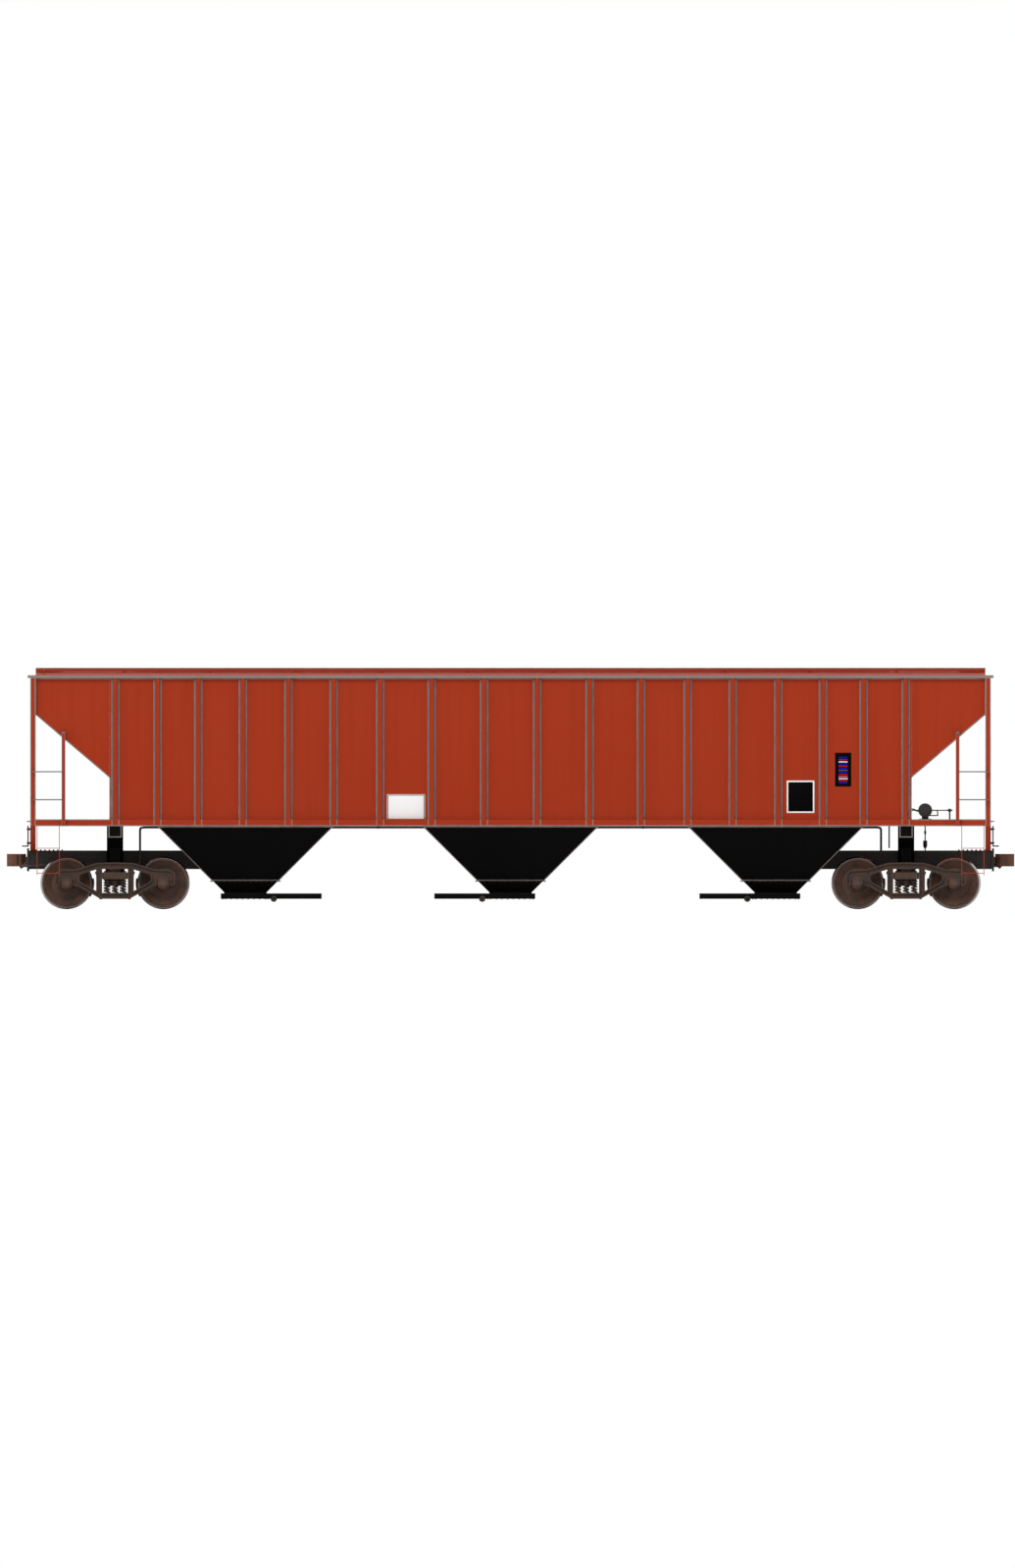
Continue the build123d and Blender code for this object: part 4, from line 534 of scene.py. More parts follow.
def finishPiece(bm, name, body, finish, smoothAngle=None):
    bmesh.ops.recalc_face_normals(bm, faces=bm.faces)
    mesh = bpy.data.meshes.new(name)
    bm.to_mesh(mesh)
    bm.free()
    for finishName in [finish] if isinstance(finish, str) else finish:
        mesh.materials.append(materials[finishName])
    if smoothAngle:
        for polygon in mesh.polygons:
            polygon.use_smooth = True
        mesh.set_sharp_from_angle(angle=math.radians(smoothAngle))
    piece = bpy.data.objects.new(name, mesh)
    scene.collection.objects.link(piece)
    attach(piece, body)
    return piece


# Seams: flat beads along the posts, sills, eaves, slopes and hoppers, grey as in the drawing;
# the one on the sill is red
seamPlan = {
    "width": 0.022, "height": 0.005, "smooth": 40,
    "slopeRise": 1.151,  # from the knee of the end's slope to the end wall
    "slopeLift": 0.012,
    "hopperWidth": 0.026, "hopperHeight": 0.007, "hopperTuck": 0.002, "lineInset": 0.010, "throatOut": 0.008,
    "lineLean": -0.3,
}


def makeSeams(plan):
    bm = bmesh.new()
    width, lift = plan["width"], plan["slopeLift"]
    half = carPlan["postWidth"] / 2 + width / 2
    kneeX, wallX = carPlan["kneeX"], carPlan["endWallX"]
    kneeZ = sillZ + kneeX - (carPlan["hopperPitch"] + carPlan["hopperLength"] / 2)
    topZ = kneeZ + plan["slopeRise"]
    posts = [end * place for place in carPlan["postPlaces"] for end in (1, -1)]
    for side in (1, -1):
        y = side * skinY

        def bead(x1, z1, x2, z2):
            addBead(bm, (x1, y, z1), (x2, y, z2), (0, side, 0), width, plan["height"])

        def level(edges, z):
            for start, stop in zip(edges[::2], edges[1::2]):
                bead(start, z, stop, z)

        edges = [place + edge for place in posts for edge in (half, -half)]
        for x in edges:
            bead(x, sillTopZ, x, eaveLow.z)
        edges = sorted(edges)
        before = set(bm.faces)
        level([-kneeX, *edges, kneeX], sillTopZ + width / 2)
        paintNew(bm, before, 1)
        level([-wallX, *edges, wallX], eaveLow.z - width / 2)
        for end in (1, -1):
            bead(end * kneeX, kneeZ + lift, end * wallX, topZ + lift)
            bead(end * wallX, topZ, end * wallX, eaveLow.z)
            x = end * (kneeX - width / 2)
            bead(x, sillTopZ, x, kneeZ)
    finishPiece(bm, "seam_beads", "car_body", ("seamGrey", "bodyRed"), plan["smooth"])


def makeHopperSeams(plan):
    bm = bmesh.new()
    throatZ = hopperLow.z
    topHalf, footHalf = carPlan["hopperLength"] / 2, carPlan["throatLength"] / 2
    for middle in (-carPlan["hopperPitch"], 0, carPlan["hopperPitch"]):
        for end in (1, -1):
            for side in (1, -1):
                top = (middle + end * topHalf, side * skinY, sillZ - plan["hopperTuck"])
                foot = (middle + end * footHalf, side * footHalf, throatZ)
                addBead(bm, top, foot, (end, side, -1), plan["hopperWidth"], plan["hopperHeight"])
        for side in (1, -1):
            for z, half, out in (
                (sillZ - plan["lineInset"], topHalf, skinY),
                (throatZ + plan["lineInset"], footHalf, footHalf + plan["throatOut"]),
            ):
                start, stop = ((middle + reach, side * out, z) for reach in (-half, half))
                out = (0, side, plan["lineLean"])
                addBead(bm, start, stop, out, plan["hopperWidth"], plan["hopperHeight"])
    finishPiece(bm, "hopper_seams", "car_body", "seamGrey", plan["smooth"])


# Fine grey lines on the outermost faces: sills, corner posts and jacking plates
linePlan = {
    "width": 0.018, "height": 0.0025, "sides": 6, "cornerX": (8.725, 8.805), "sillInset": 0.1,
    "padX": (7.139, 7.380), "padFoot": 1.318, "smooth": 40,
}


def makeFaceLines(plan):
    bm = bmesh.new()
    width, height = plan["width"], plan["height"]
    edge = width / 2
    for side in (1, -1):
        outward = (0, side, 0)
        y = side * bodyY

        def line(x1, z1, x2, z2):
            addBead(bm, (x1, y, z1), (x2, y, z2), outward, width, height, plan["sides"])

        line(sillLow.x + plan["sillInset"], sillZ + edge, sillHigh.x - plan["sillInset"], sillZ + edge)
        for end in (1, -1):
            line(end * carPlan["kneeX"], sillTopZ - edge, end * carPlan["endWallX"], sillTopZ - edge)
            for x in plan["cornerX"]:
                line(end * x, sillZ, end * x, eaveLow.z)
            for place in carPlan["postPlaces"]:
                for edgeSide in (1, -1):
                    x = end * place + edgeSide * (carPlan["postWidth"] / 2 + edge)
                    line(x, sillZ, x, sillTopZ)
            near, far = (end * x for x in plan["padX"])
            inset = end * edge
            for x in (near + inset, far - inset):
                line(x, plan["padFoot"], x, sillZ)
            line(near, plan["padFoot"] + edge, far, plan["padFoot"] + edge)
    finishPiece(bm, "face_lines", "car_body", "seamGrey", plan["smooth"])


makeSeams(seamPlan)
makeHopperSeams(seamPlan)
makeFaceLines(linePlan)
print("seams laid")


# Blank plates on each side: a white panel, a black panel with a white border, and a bar label
platePlan = {
    "plates": (  # middle along the car, foot and top over the sill's underside, width, two finishes, layers
        (-1.919, 0.112, 0.583, 0.695, "panelWhite", "panelBlack", "whiteLayers"),  # with a thin dark line
        (5.323, 0.243, 0.837, 0.508, "panelWhite", "panelBlack", "blackLayers"),  # black with a white border
    ),
    "thickness": 0.004, "edge": 0.0012, "smooth": 35,
    "whiteLayers": ((0.018, 0.0006, 1), (0.0432, 0.0012, 0)),  # narrower all round by, proud by, finish
    "blackLayers": ((0.054, 0.0006, 1),),
    "labelX": 6.105, "labelWidth": 0.297, "labelFoot": 0.727, "labelTop": 1.348,
    "barWidth": 0.164, "barFoot": 0.783, "barTop": 1.285, "barShare": 0.52, "barProud": 0.0015,
    "bars": ("labelBlue", "labelRed", "labelWhite", "labelRose", "labelRed", "labelBlue", "labelGrey",
             "labelBlue", "labelRed", "labelBlue", "labelWhite", "labelRed", "labelBlue"),
}


def addPanel(bm, side, middle, width, foot, top, depth, materialIndex):
    # Plates read the same way from both sides, so the far side's stand end for end
    x = -side * middle
    low = (x - width / 2, side * skinY - (depth if side < 0 else 0), foot)
    high = (x + width / 2, side * skinY + (depth if side > 0 else 0), top)
    before = set(bm.faces)
    addBlock(bm, low, high, platePlan["edge"])
    paintNew(bm, before, materialIndex)


def makePlates(plan):
    for number, (middle, foot, top, width, ground, line, layers) in enumerate(plan["plates"], 1):
        bm = bmesh.new()
        for side in (1, -1):
            for inset, proud, index in ((0, 0, 0), *plan[layers]):
                addPanel(bm, side, middle, width - inset, sillZ + foot + inset / 2, sillZ + top - inset / 2,
                         plan["thickness"] + proud, index)
        finishPiece(bm, f"blank_panel_{number}", "car_body", (ground, line), plan["smooth"])
    bm = bmesh.new()
    finishes = ["panelBlack", *sorted(set(plan["bars"]))]
    pitch = (plan["barTop"] - plan["barFoot"]) / len(plan["bars"])
    for side in (1, -1):
        foot, top = sillZ + plan["labelFoot"], sillZ + plan["labelTop"]
        addPanel(bm, side, plan["labelX"], plan["labelWidth"], foot, top, plan["thickness"], 0)
        for number, colour in enumerate(plan["bars"]):
            foot = sillZ + plan["barFoot"] + number * pitch
            addPanel(bm, side, plan["labelX"], plan["barWidth"], foot, foot + pitch * plan["barShare"],
                     plan["thickness"] + plan["barProud"], finishes.index(colour))
    finishPiece(bm, "bar_label", "car_body", finishes, plan["smooth"])


makePlates(platePlan)
print("plates hung")


# Running boards: side bars with a galvanised grating between them, and crossovers at the ends
gratingPlan = {
    "inner": 0.560, "outer": 0.880, "crossover": 0.460, "sideBar": 0.006, "depth": 0.032, "greyLine": 0.020,
    "loadBars": 8, "crossoverBars": 28, "loadBarThick": 0.0035, "loadBarDepth": 0.026, "loadBarDrop": 0.001,
    "crossPitch": 0.1016, "crossThick": 0.007, "crossDepth": 0.007, "crossoverGap": 0.002,
}


def addGrating(bm, low, high, plan):
    # Load bars run along X, the side bars and ends close it all round
    before = set(bm.faces)
    thick = plan["sideBar"]
    for y in (low.y, high.y - thick):
        addBlock(bm, (low.x, y, low.z), (high.x, y + thick, high.z))
    for x in (low.x, high.x - thick):
        addBlock(bm, (x, low.y + thick, low.z), (x + thick, high.y - thick, high.z))
    paintNew(bm, before, 0)
    before = set(bm.faces)
    pitch = (high.y - low.y - 2 * thick) / (plan["loadBars"] + 1)
    for number in range(1, plan["loadBars"] + 1):
        y = low.y + thick + number * pitch - plan["loadBarThick"] / 2
        addBlock(bm, (low.x + thick, y, high.z - plan["loadBarDepth"]),
                 (high.x - thick, y + plan["loadBarThick"], high.z - plan["loadBarDrop"]))
    count = int((high.x - low.x) / plan["crossPitch"])
    for number in range(1, count):
        x = low.x + number * (high.x - low.x) / count
        foot, far = high.z - plan["crossDepth"], x + plan["crossThick"]
        addBlock(bm, (x, low.y + thick, foot), (far, high.y - thick, high.z))
    paintNew(bm, before, 1)


def makeGratings(plan):
    bm = bmesh.new()
    foot = boardHigh.z - plan["depth"]
    for side in (1, -1):
        ys = sorted((side * plan["inner"], side * plan["outer"]))
        addGrating(bm, Vector((boardLow.x, ys[0], foot)), Vector((boardHigh.x, ys[1], boardHigh.z)), plan)
        ys = sorted((side * plan["outer"], side * boardHigh.y))
        line = boardHigh.z - plan["greyLine"]
        for index, low, high in ((0, boardLow.z, line), (2, line, boardHigh.z)):
            before = set(bm.faces)
            addBlock(bm, (boardLow.x, ys[0], low), (boardHigh.x, ys[1], high))
            paintNew(bm, before, index)
    wide = dict(plan, loadBars=plan["crossoverBars"])
    for end in (1, -1):
        xs = sorted((end * boardHigh.x, end * (boardHigh.x - plan["crossover"])))
        reach = plan["inner"] - plan["crossoverGap"]
        addGrating(bm, Vector((xs[0], -reach, foot)), Vector((xs[1], reach, boardHigh.z)), wide)
    piece = finishPiece(bm, "board_grating", "car_body", ("roofRed", "galvanised", "seamGrey"))
    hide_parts("running_boards")


makeGratings(gratingPlan)
print("running boards laid")


# Truck springs: an outer and an inner coil at each of the six places of a truck
springPlan = {
    "places": (-0.148, 0.0, 0.148), "outerRadius": 0.054, "outerWire": 0.0135,
    "innerRadius": 0.027, "innerWire": 0.0085,
    "outerTurns": 4.5, "innerTurns": 7.0, "stepsPerTurn": 18, "wireSides": 8,
    "seatThick": 0.006, "seatRadius": 0.066, "seatSides": 20,
}
upright = Matrix.Rotation(math.radians(90), 4, "X")  # stands a circle up, facing along Y


def wholeRing(verts):
    # A filled circle's corners, edges and face, ready to be spun
    edges = dict.fromkeys(edge for vert in verts for edge in vert.link_edges)
    return [*verts, *edges, *dict.fromkeys(face for edge in edges for face in edge.link_faces)]


def addCoil(bm, middle, footZ, topZ, radius, wire, turns, plan):
    ring = bmesh.ops.create_circle(
        bm, cap_ends=True, radius=wire, segments=plan["wireSides"],
        matrix=Matrix.Translation(middle + Vector((radius, 0, footZ + wire))) @ upright,
    )
    steps = int(turns * plan["stepsPerTurn"])
    bmesh.ops.spin(
        bm, geom=wholeRing(ring["verts"]), cent=middle, axis=(0, 0, 1),
        dvec=(0, 0, (topZ - footZ - 2 * wire) / steps), angle=turns * 2 * math.pi,
        steps=steps, use_merge=False, use_duplicate=False,
    )


def makeSprings(plan, truck, middleX):
    low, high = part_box(f"truck_{truck}_springs")
    bm = bmesh.new()
    for side in (1, -1):
        for place in plan["places"]:
            middle = Vector((middleX + place, side * carPlan["journalY"], 0))
            for coil in ("outer", "inner"):
                radius, wire, turns = (plan[coil + part] for part in ("Radius", "Wire", "Turns"))
                addCoil(bm, middle, low.z, high.z, radius, wire, turns, plan)
            for z, lift in ((low.z, plan["seatThick"]), (high.z, -plan["seatThick"])):
                foot = middle + Vector((0, 0, z))
                addRod(bm, foot, foot + Vector((0, 0, lift)), plan["seatRadius"], plan["seatSides"])
    piece = finishPiece(bm, f"truck_{truck}_coils", f"truck_{truck}", "springSteel", 50)
    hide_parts(f"truck_{truck}_springs")


makeSprings(springPlan, "a", carPlan["truckX"])
makeSprings(springPlan, "b", -carPlan["truckX"])
print("springs coiled")


# Small shapes that many of the fittings below are made of
def addBolt(bm, place, direction, across, height):
    # A hexagon head on a washer
    place, direction = Vector(place), Vector(direction).normalized()
    addRod(bm, place, place + direction * height * 0.2, across * 0.78, 10)
    addRod(bm, place + direction * height * 0.2, place + direction * height, across * 0.58, 6)


def addBoltCircle(bm, middle, out, count, radius, across, height, first=0.0):
    for step in range(count):
        turn = 2 * math.pi * step / count + first
        addBolt(bm, middle + Vector((math.cos(turn), 0, math.sin(turn))) * radius, out, across, height)


def addDome(bm, place, direction, radius, height):
    # A rivet head, half of it buried
    turn = Vector(direction).to_track_quat("Z", "Y").to_matrix().to_4x4()
    squashed = Matrix.Diagonal((1, 1, height / radius, 1))
    bmesh.ops.create_uvsphere(
        bm, u_segments=8, v_segments=4, radius=radius,
        matrix=Matrix.Translation(Vector(place)) @ turn @ squashed,
    )


def addRing(bm, middle, direction, inner, outer, thick, steps=32):
    # A flat ring: its section is spun once round the middle
    middle, direction = Vector(middle), Vector(direction).normalized()
    across = direction.orthogonal().normalized()
    section = ((inner, 0), (outer, 0), (outer, thick), (inner, thick))
    corners = [bm.verts.new(middle + across * radius + direction * lift) for radius, lift in section]
    edges = [bm.edges.new(pair) for pair in zip(corners, corners[1:] + corners[:1])]
    bmesh.ops.spin(
        bm, geom=corners + edges, cent=middle, axis=direction, dvec=(0, 0, 0), angle=2 * math.pi,
        steps=steps, use_merge=True, use_duplicate=False,
    )


def addBar(bm, start, end, width, thick, facing, eyes=2):
    # A flat bar with its broad side towards facing, and a round eye at both ends, at its end only or at none
    start, end = Vector(start), Vector(end)
    along = (end - start).normalized()
    facing = (Vector(facing) - along * Vector(facing).dot(along)).normalized()
    across = facing.cross(along)
    length = (end - start).length
    turn = Matrix((along * length, across * width, facing * thick)).transposed().to_4x4()
    bmesh.ops.create_cube(bm, size=1.0, matrix=Matrix.Translation((start + end) / 2) @ turn)
    for place in (end, start)[:eyes]:
        addRod(bm, place - facing * thick * 0.7, place + facing * thick * 0.7, width * 0.72, 16)
        addRod(bm, place - facing * thick * 1.6, place + facing * thick * 1.6, width * 0.3, 8)


def addGrab(bm, start, end, outward, reach, radius):
    # A handhold: a rod between two legs, on bolted feet
    start, end, outward = Vector(start), Vector(end), Vector(outward).normalized()
    corners = (start + outward * reach, end + outward * reach)
    addRod(bm, corners[0], corners[1], radius, 10)
    along = (end - start).normalized()
    for foot, corner, side in ((start, corners[0], -1), (end, corners[1], 1)):
        addRod(bm, foot, corner, radius, 10)
        place = Matrix.Translation(corner)
        bmesh.ops.create_icosphere(bm, subdivisions=2, radius=radius * 1.02, matrix=place)
        tab = foot + along * side * radius * 3
        addBar(bm, foot + outward * 0.003, tab + outward * 0.003, radius * 3.2, 0.006, outward, eyes=0)
        addBolt(bm, tab + outward * 0.006, outward, radius * 1.1, 0.009)


# Roof battens: pressed strips over the roof sheets' joints, bent to the roof
battenPlan = {
    "pitch": 1.5736, "count": 11, "width": 0.050, "height": 0.006, "lift": 0.001, "rise": 0.065,
    "inner": 0.420, "outer": 1.448, "steps": 8,
}


def makeBattens(plan):
    bm = bmesh.new()
    half = roofHigh.y
    radius = (half ** 2 + plan["rise"] ** 2) / (2 * plan["rise"])
    middle = Vector((0, 0, roofLow.z + plan["rise"] - radius))
    first, last = (math.asin(plan[key] / radius) for key in ("inner", "outer"))
    for number in range(plan["count"]):
        x = (number - (plan["count"] - 1) / 2) * plan["pitch"]
        for side in (1, -1):
            tilt = Matrix.Rotation(-side * first, 4, "X")
            lift = Matrix.Translation((0, 0, radius + plan["lift"]))
            squashed = Matrix.Diagonal((plan["width"] / 2, plan["height"], 1, 1))
            ring = bmesh.ops.create_circle(
                bm, cap_ends=True, radius=1.0, segments=10,
                matrix=Matrix.Translation(middle + Vector((x, 0, 0))) @ tilt @ lift @ upright @ squashed,
            )
            bmesh.ops.spin(
                bm, geom=wholeRing(ring["verts"]), cent=middle, axis=(1, 0, 0), dvec=(0, 0, 0),
                angle=-side * (last - first), steps=plan["steps"], use_merge=False, use_duplicate=False,
            )
    finishPiece(bm, "roof_battens", "car_body", "roofRed", 40)


makeBattens(battenPlan)
print("roof battens laid")


# Hatch covers: rivets round each cover, and hasps that drop between the keepers on the coaming
coverPlan = {
    "rivetPitch": 0.0966, "rivetRadius": 0.008, "rivetHeight": 0.004, "rivetInset": 0.022,
    "plateDrop": 0.010, "haspPlaces": (-1.25, -0.42, 0.42, 1.25),
    "haspHalf": 0.021, "haspThick": 0.005, "haspTail": 0.060,
    "haspReach": 0.378, "haspFoot": 4.352, "haspLip": (0.026, 0.004), "haspEdge": 0.0012, "lipEdge": 0.001,
    "haspBolts": (0.046, 0.020), "boltAcross": 0.008, "boltHeight": 0.0045, "coverEdge": 0.350,
    "keeperGap": 0.032, "keeperHalf": 0.004, "keeperY": (0.3585, 0.396), "keeperZ": (4.368, 4.397),
    "pinHalf": 0.009, "pinRadius": 0.005, "pinInset": 0.010, "pinDrop": 0.012,
}


def makeCoverFittings(plan, number):
    low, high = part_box(f"hatch_cover_{number}")
    middle = (low.x + high.x) / 2
    edge, inset = plan["coverEdge"], plan["rivetInset"]
    plateZ = high.z - plan["plateDrop"]
    bm = bmesh.new()

    def rivet(x, y):
        addDome(bm, (x, y, plateZ), (0, 0, 1), plan["rivetRadius"], plan["rivetHeight"])

    count = int((high.x - low.x - 2 * inset) / plan["rivetPitch"])
    for step in range(count + 1):
        x = low.x + inset + step * (high.x - low.x - 2 * inset) / count
        for side in (1, -1):
            rivet(x, side * (edge - inset))
    count = int((2 * edge - 2 * inset) / plan["rivetPitch"])
    for step in range(1, count):
        y = inset - edge + step * (2 * edge - 2 * inset) / count
        for x in (low.x + inset, high.x - inset):
            rivet(x, y)
    finishPiece(bm, f"cover_rivets_{number}", f"hatch_cover_{number}", "roofRed", 60)
    bm = bmesh.new()
    half, thick, reach, foot = plan["haspHalf"], plan["haspThick"], plan["haspReach"], plan["haspFoot"]
    lipOut, lipDrop = plan["haspLip"]
    for place in plan["haspPlaces"]:
        x = middle + place
        for yNear, zLow, yFar, zHigh, bevel in (  # the strap, its drop, and the lip turned out at its foot
            (edge - plan["haspTail"], plateZ, reach, plateZ + thick, plan["haspEdge"]),
            (reach - thick, foot, reach, plateZ, plan["haspEdge"]),
            (reach - thick, foot - lipDrop, reach + lipOut, foot, plan["lipEdge"]),
        ):
            addBlock(bm, (x - half, yNear, zLow), (x + half, yFar, zHigh), bevel)
        for back in plan["haspBolts"]:
            addBolt(bm, (x, edge - back, plateZ + thick), (0, 0, 1), plan["boltAcross"], plan["boltHeight"])
    finishPiece(bm, f"cover_hasps_{number}", f"hatch_cover_{number}", "galvanised")


def makeKeepers(plan):
    # Two lugs on the coaming beside each hasp, each with a pin through it
    bm = bmesh.new()
    (nearY, farY), (footZ, topZ) = plan["keeperY"], plan["keeperZ"]
    half, pin = plan["keeperHalf"], plan["pinHalf"]
    for number in range(1, 5):
        low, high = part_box(f"hatch_cover_{number}")
        for place in plan["haspPlaces"]:
            for side in (1, -1):
                x = (low.x + high.x) / 2 + place + side * plan["keeperGap"]
                addBlock(bm, (x - half, nearY, footZ), (x + half, farY, topZ), plan["haspEdge"])
                y, z = farY - plan["pinInset"], topZ - plan["pinDrop"]
                addRod(bm, (x - pin, y, z), (x + pin, y, z), plan["pinRadius"], 8)
    finishPiece(bm, "hatch_keepers", "car_body", "roofRed")


for coverNumber in range(1, 5):
    makeCoverFittings(coverPlan, coverNumber)
makeKeepers(coverPlan)
print("hatch covers fitted out")


# Outlets: bolts round the flanges and boot rings, and bearing plates where the gate shafts pass the rails
outletPlan = {
    "flangeHalf": 0.628, "flangeZ": 0.510, "boltsPerSide": 13, "boltAcross": 0.015, "boltHeight": 0.012,
    "railFace": 0.572, "plateRadius": 0.052, "plateThick": 0.008, "shaftHole": 0.025,
    "plateBolts": 6, "plateBoltCircle": 0.042, "plateBoltSize": 0.006,
    "bootHalf": 0.416, "bootZ": 0.190, "bootBolts": 8,
    "studs": ((-0.011, 0.002, 0.0085, 12), (-0.008, 0.0, 0.014, 6)),  # foot, top, radius, sides
}


def squarePlaces(half, count):
    # Places along the four sides of a square, as (x, y)
    for step in range(count):
        along = half * (2 * (step + 0.5) / count - 1)
        for side in (1, -1):
            yield along, side * half
            yield side * half, along


def makeOutletFittings(plan):
    outlets = (-carPlan["hopperPitch"], 0, carPlan["hopperPitch"])
    bm = bmesh.new()
    for middle in outlets:
        for x, y in squarePlaces(plan["flangeHalf"], plan["boltsPerSide"]):
            addBolt(bm, (middle + x, y, plan["flangeZ"]), (0, 0, -1), plan["boltAcross"], plan["boltHeight"])
    finishPiece(bm, "outlet_bolts", "car_body", "boltSteel")
    bm = bmesh.new()
    for shaft in (1, 2, 3):
        low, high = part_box(f"gate_shaft_{shaft}")
        x, z = (low.x + high.x) / 2, (low.z + high.z) / 2
        for side in (1, -1):
            face, out = Vector((x, side * plan["railFace"], z)), Vector((0, side, 0))
            addRing(bm, face, out, plan["shaftHole"], plan["plateRadius"], plan["plateThick"])
            count, circle, size = plan["plateBolts"], plan["plateBoltCircle"], plan["plateBoltSize"]
            addBoltCircle(bm, face + out * plan["plateThick"], out, count, circle, size, size)
    finishPiece(bm, "shaft_plates", "car_body", "boltSteel", 40)
    bm = bmesh.new()
    for middle in outlets:
        for x, y in squarePlaces(plan["bootHalf"], plan["bootBolts"]):
            for foot, top, radius, sides in plan["studs"]:
                spot = Vector((middle + x, y, plan["bootZ"]))
                addRod(bm, spot + Vector((0, 0, foot)), spot + Vector((0, 0, top)), radius, sides)
    finishPiece(bm, "boot_studs", "car_body", "boltSteel")


makeOutletFittings(outletPlan)
print("outlets bolted up")


# Wheelsets: a locking plate, cap bolts and a plug on the end of each bearing, two rims round its cup
bearingPlan = {
    "plateRadius": 0.062, "plateThick": 0.003, "plateSink": 0.001, "plugRadius": 0.009, "plugHeight": 0.011,
    "bolts": 3, "boltCircle": 0.044, "boltAcross": 0.019, "boltHeight": 0.014,
    "cupY": 0.923, "rims": (0.035, 0.125), "rimRadius": 0.1101, "rimWidth": 0.010,
}


def makeBearingCaps(plan, number):
    low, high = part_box(f"wheelset_{number}")
    x, z = (low.x + high.x) / 2, (low.z + high.z) / 2
    bm = bmesh.new()
    for side in (1, -1):
        out = Vector((0, side, 0))
        face = Vector((x, side * high.y, z))
        top = face + out * plan["plateThick"]
        addRod(bm, face - out * plan["plateSink"], top, plan["plateRadius"], plan["bolts"])
        addRod(bm, face, face + out * plan["plugHeight"], plan["plugRadius"], 6)
        across, height = plan["boltAcross"], plan["boltHeight"]
        addBoltCircle(bm, top, out, plan["bolts"], plan["boltCircle"], across, height, math.pi / 2)
        for reach in plan["rims"]:
            y = plan["cupY"] + reach
            addRod(bm, (x, side * y, z), (x, side * (y + plan["rimWidth"]), z), plan["rimRadius"], 40)
    finishPiece(bm, f"bearing_caps_{number}", f"wheelset_{number}", "boltSteel", 40)


for wheelsetNumber in range(1, 5):
    makeBearingCaps(bearingPlan, wheelsetNumber)
print("bearing caps bolted on")


# Trucks: column bolts on the side frames, brake levers on the beams, and the rod that joins them
truckPlan = {
    "boltX": 0.290, "boltRows": (0.545, 0.615, 0.685), "pocketFace": 1.033,
    "boltAcross": 0.018, "boltHeight": 0.014,
    "leverY": 0.045, "leverFoot": (0.262, 0.215), "leverPin": (0.285, 0.312), "leverTop": (0.330, 0.668),
    "leverWidth": 0.050, "leverThick": 0.016, "rodRadius": 0.016,
}


def makeTruckFittings(plan, truck, middleX):
    bm = bmesh.new()
    for side in (1, -1):
        for end in (1, -1):
            for z in plan["boltRows"]:
                x = middleX + end * plan["boltX"]
                spot = (x, side * plan["pocketFace"], z)
                addBolt(bm, spot, (0, side, 0), plan["boltAcross"], plan["boltHeight"])
    finishPiece(bm, f"truck_{truck}_column_bolts", f"truck_{truck}", "boltSteel")
    bm = bmesh.new()
    eyes = []
    for end in (1, -1):
        y = end * plan["leverY"]
        points = (plan["leverFoot"], plan["leverPin"], plan["leverTop"])
        foot, pin, top = ((middleX + end * x, y, z) for x, z in points)
        addBar(bm, foot, pin, plan["leverWidth"], plan["leverThick"], (0, 1, 0))
        addBar(bm, pin, top, plan["leverWidth"], plan["leverThick"], (0, 1, 0), eyes=1)
        eyes.append(Vector(foot))
    addRod(bm, eyes[0], eyes[1], plan["rodRadius"], 12)
    finishPiece(bm, f"truck_{truck}_brake_levers", f"truck_{truck}", "castSteel", 40)


makeTruckFittings(truckPlan, "a", carPlan["truckX"])
makeTruckFittings(truckPlan, "b", -carPlan["truckX"])
print("trucks fitted out")


# Ends: handholds on the sills and the roof, rivets along the draft sills, bolts at the ladders
endPlan = {
    "sillFace": 8.815, "grabZ": 1.612, "grabY": (0.560, 1.060), "reach": 0.060, "rodRadius": 0.0095,
    "roofX": 8.560, "roofY": (0.985, 1.385), "roofFoot": (4.331, 4.303), "roofReach": 0.085,
    "rivetX": (8.230, 8.780), "rivetCount": 8, "rivetRows": (0.772, 0.812, 1.046, 1.086), "webFace": 0.165,
    "rivetRadius": 0.015, "rivetHeight": 0.010,
    "boltX": (8.224, 8.188), "boltZ": (1.570, 3.232), "boltY": 1.6165,
    "boltAcross": 0.010, "boltHeight": 0.0085,
}


def makeEndFittings(plan):
    bm = bmesh.new()
    for end in (1, -1):
        out = Vector((end, 0, 0))
        for side in (1, -1):
            feet = [Vector((end * plan["sillFace"], side * y, plan["grabZ"])) for y in plan["grabY"]]
            addGrab(bm, feet[0], feet[1], out, plan["reach"], plan["rodRadius"])
        feet = [Vector((end * plan["roofX"], end * y, z)) for y, z in zip(plan["roofY"], plan["roofFoot"])]
        addGrab(bm, feet[0], feet[1], (0, 0, 1), plan["roofReach"], plan["rodRadius"])
    finishPiece(bm, "handholds", "car_body", "bodyRed", 40)
    bm = bmesh.new()
    first, last = plan["rivetX"]
    for end in (1, -1):
        for side in (1, -1):
            for step in range(plan["rivetCount"]):
                x = end * (first + step * (last - first) / (plan["rivetCount"] - 1))
                for z in plan["rivetRows"]:
                    spot = (x, side * plan["webFace"], z)
                    addDome(bm, spot, (0, side, 0), plan["rivetRadius"], plan["rivetHeight"])
    finishPiece(bm, "draft_rivets", "car_body", "brakeBlack", 60)
    bm = bmesh.new()
    for end in (1, -1):
        for side in (1, -1):
            for z in plan["boltZ"]:
                for x in plan["boltX"]:
                    spot = (end * x, side * plan["boltY"], z)
                    addBolt(bm, spot, (0, side, 0), plan["boltAcross"], plan["boltHeight"])
    finishPiece(bm, "ladder_bolts", "car_body", "boltSteel")


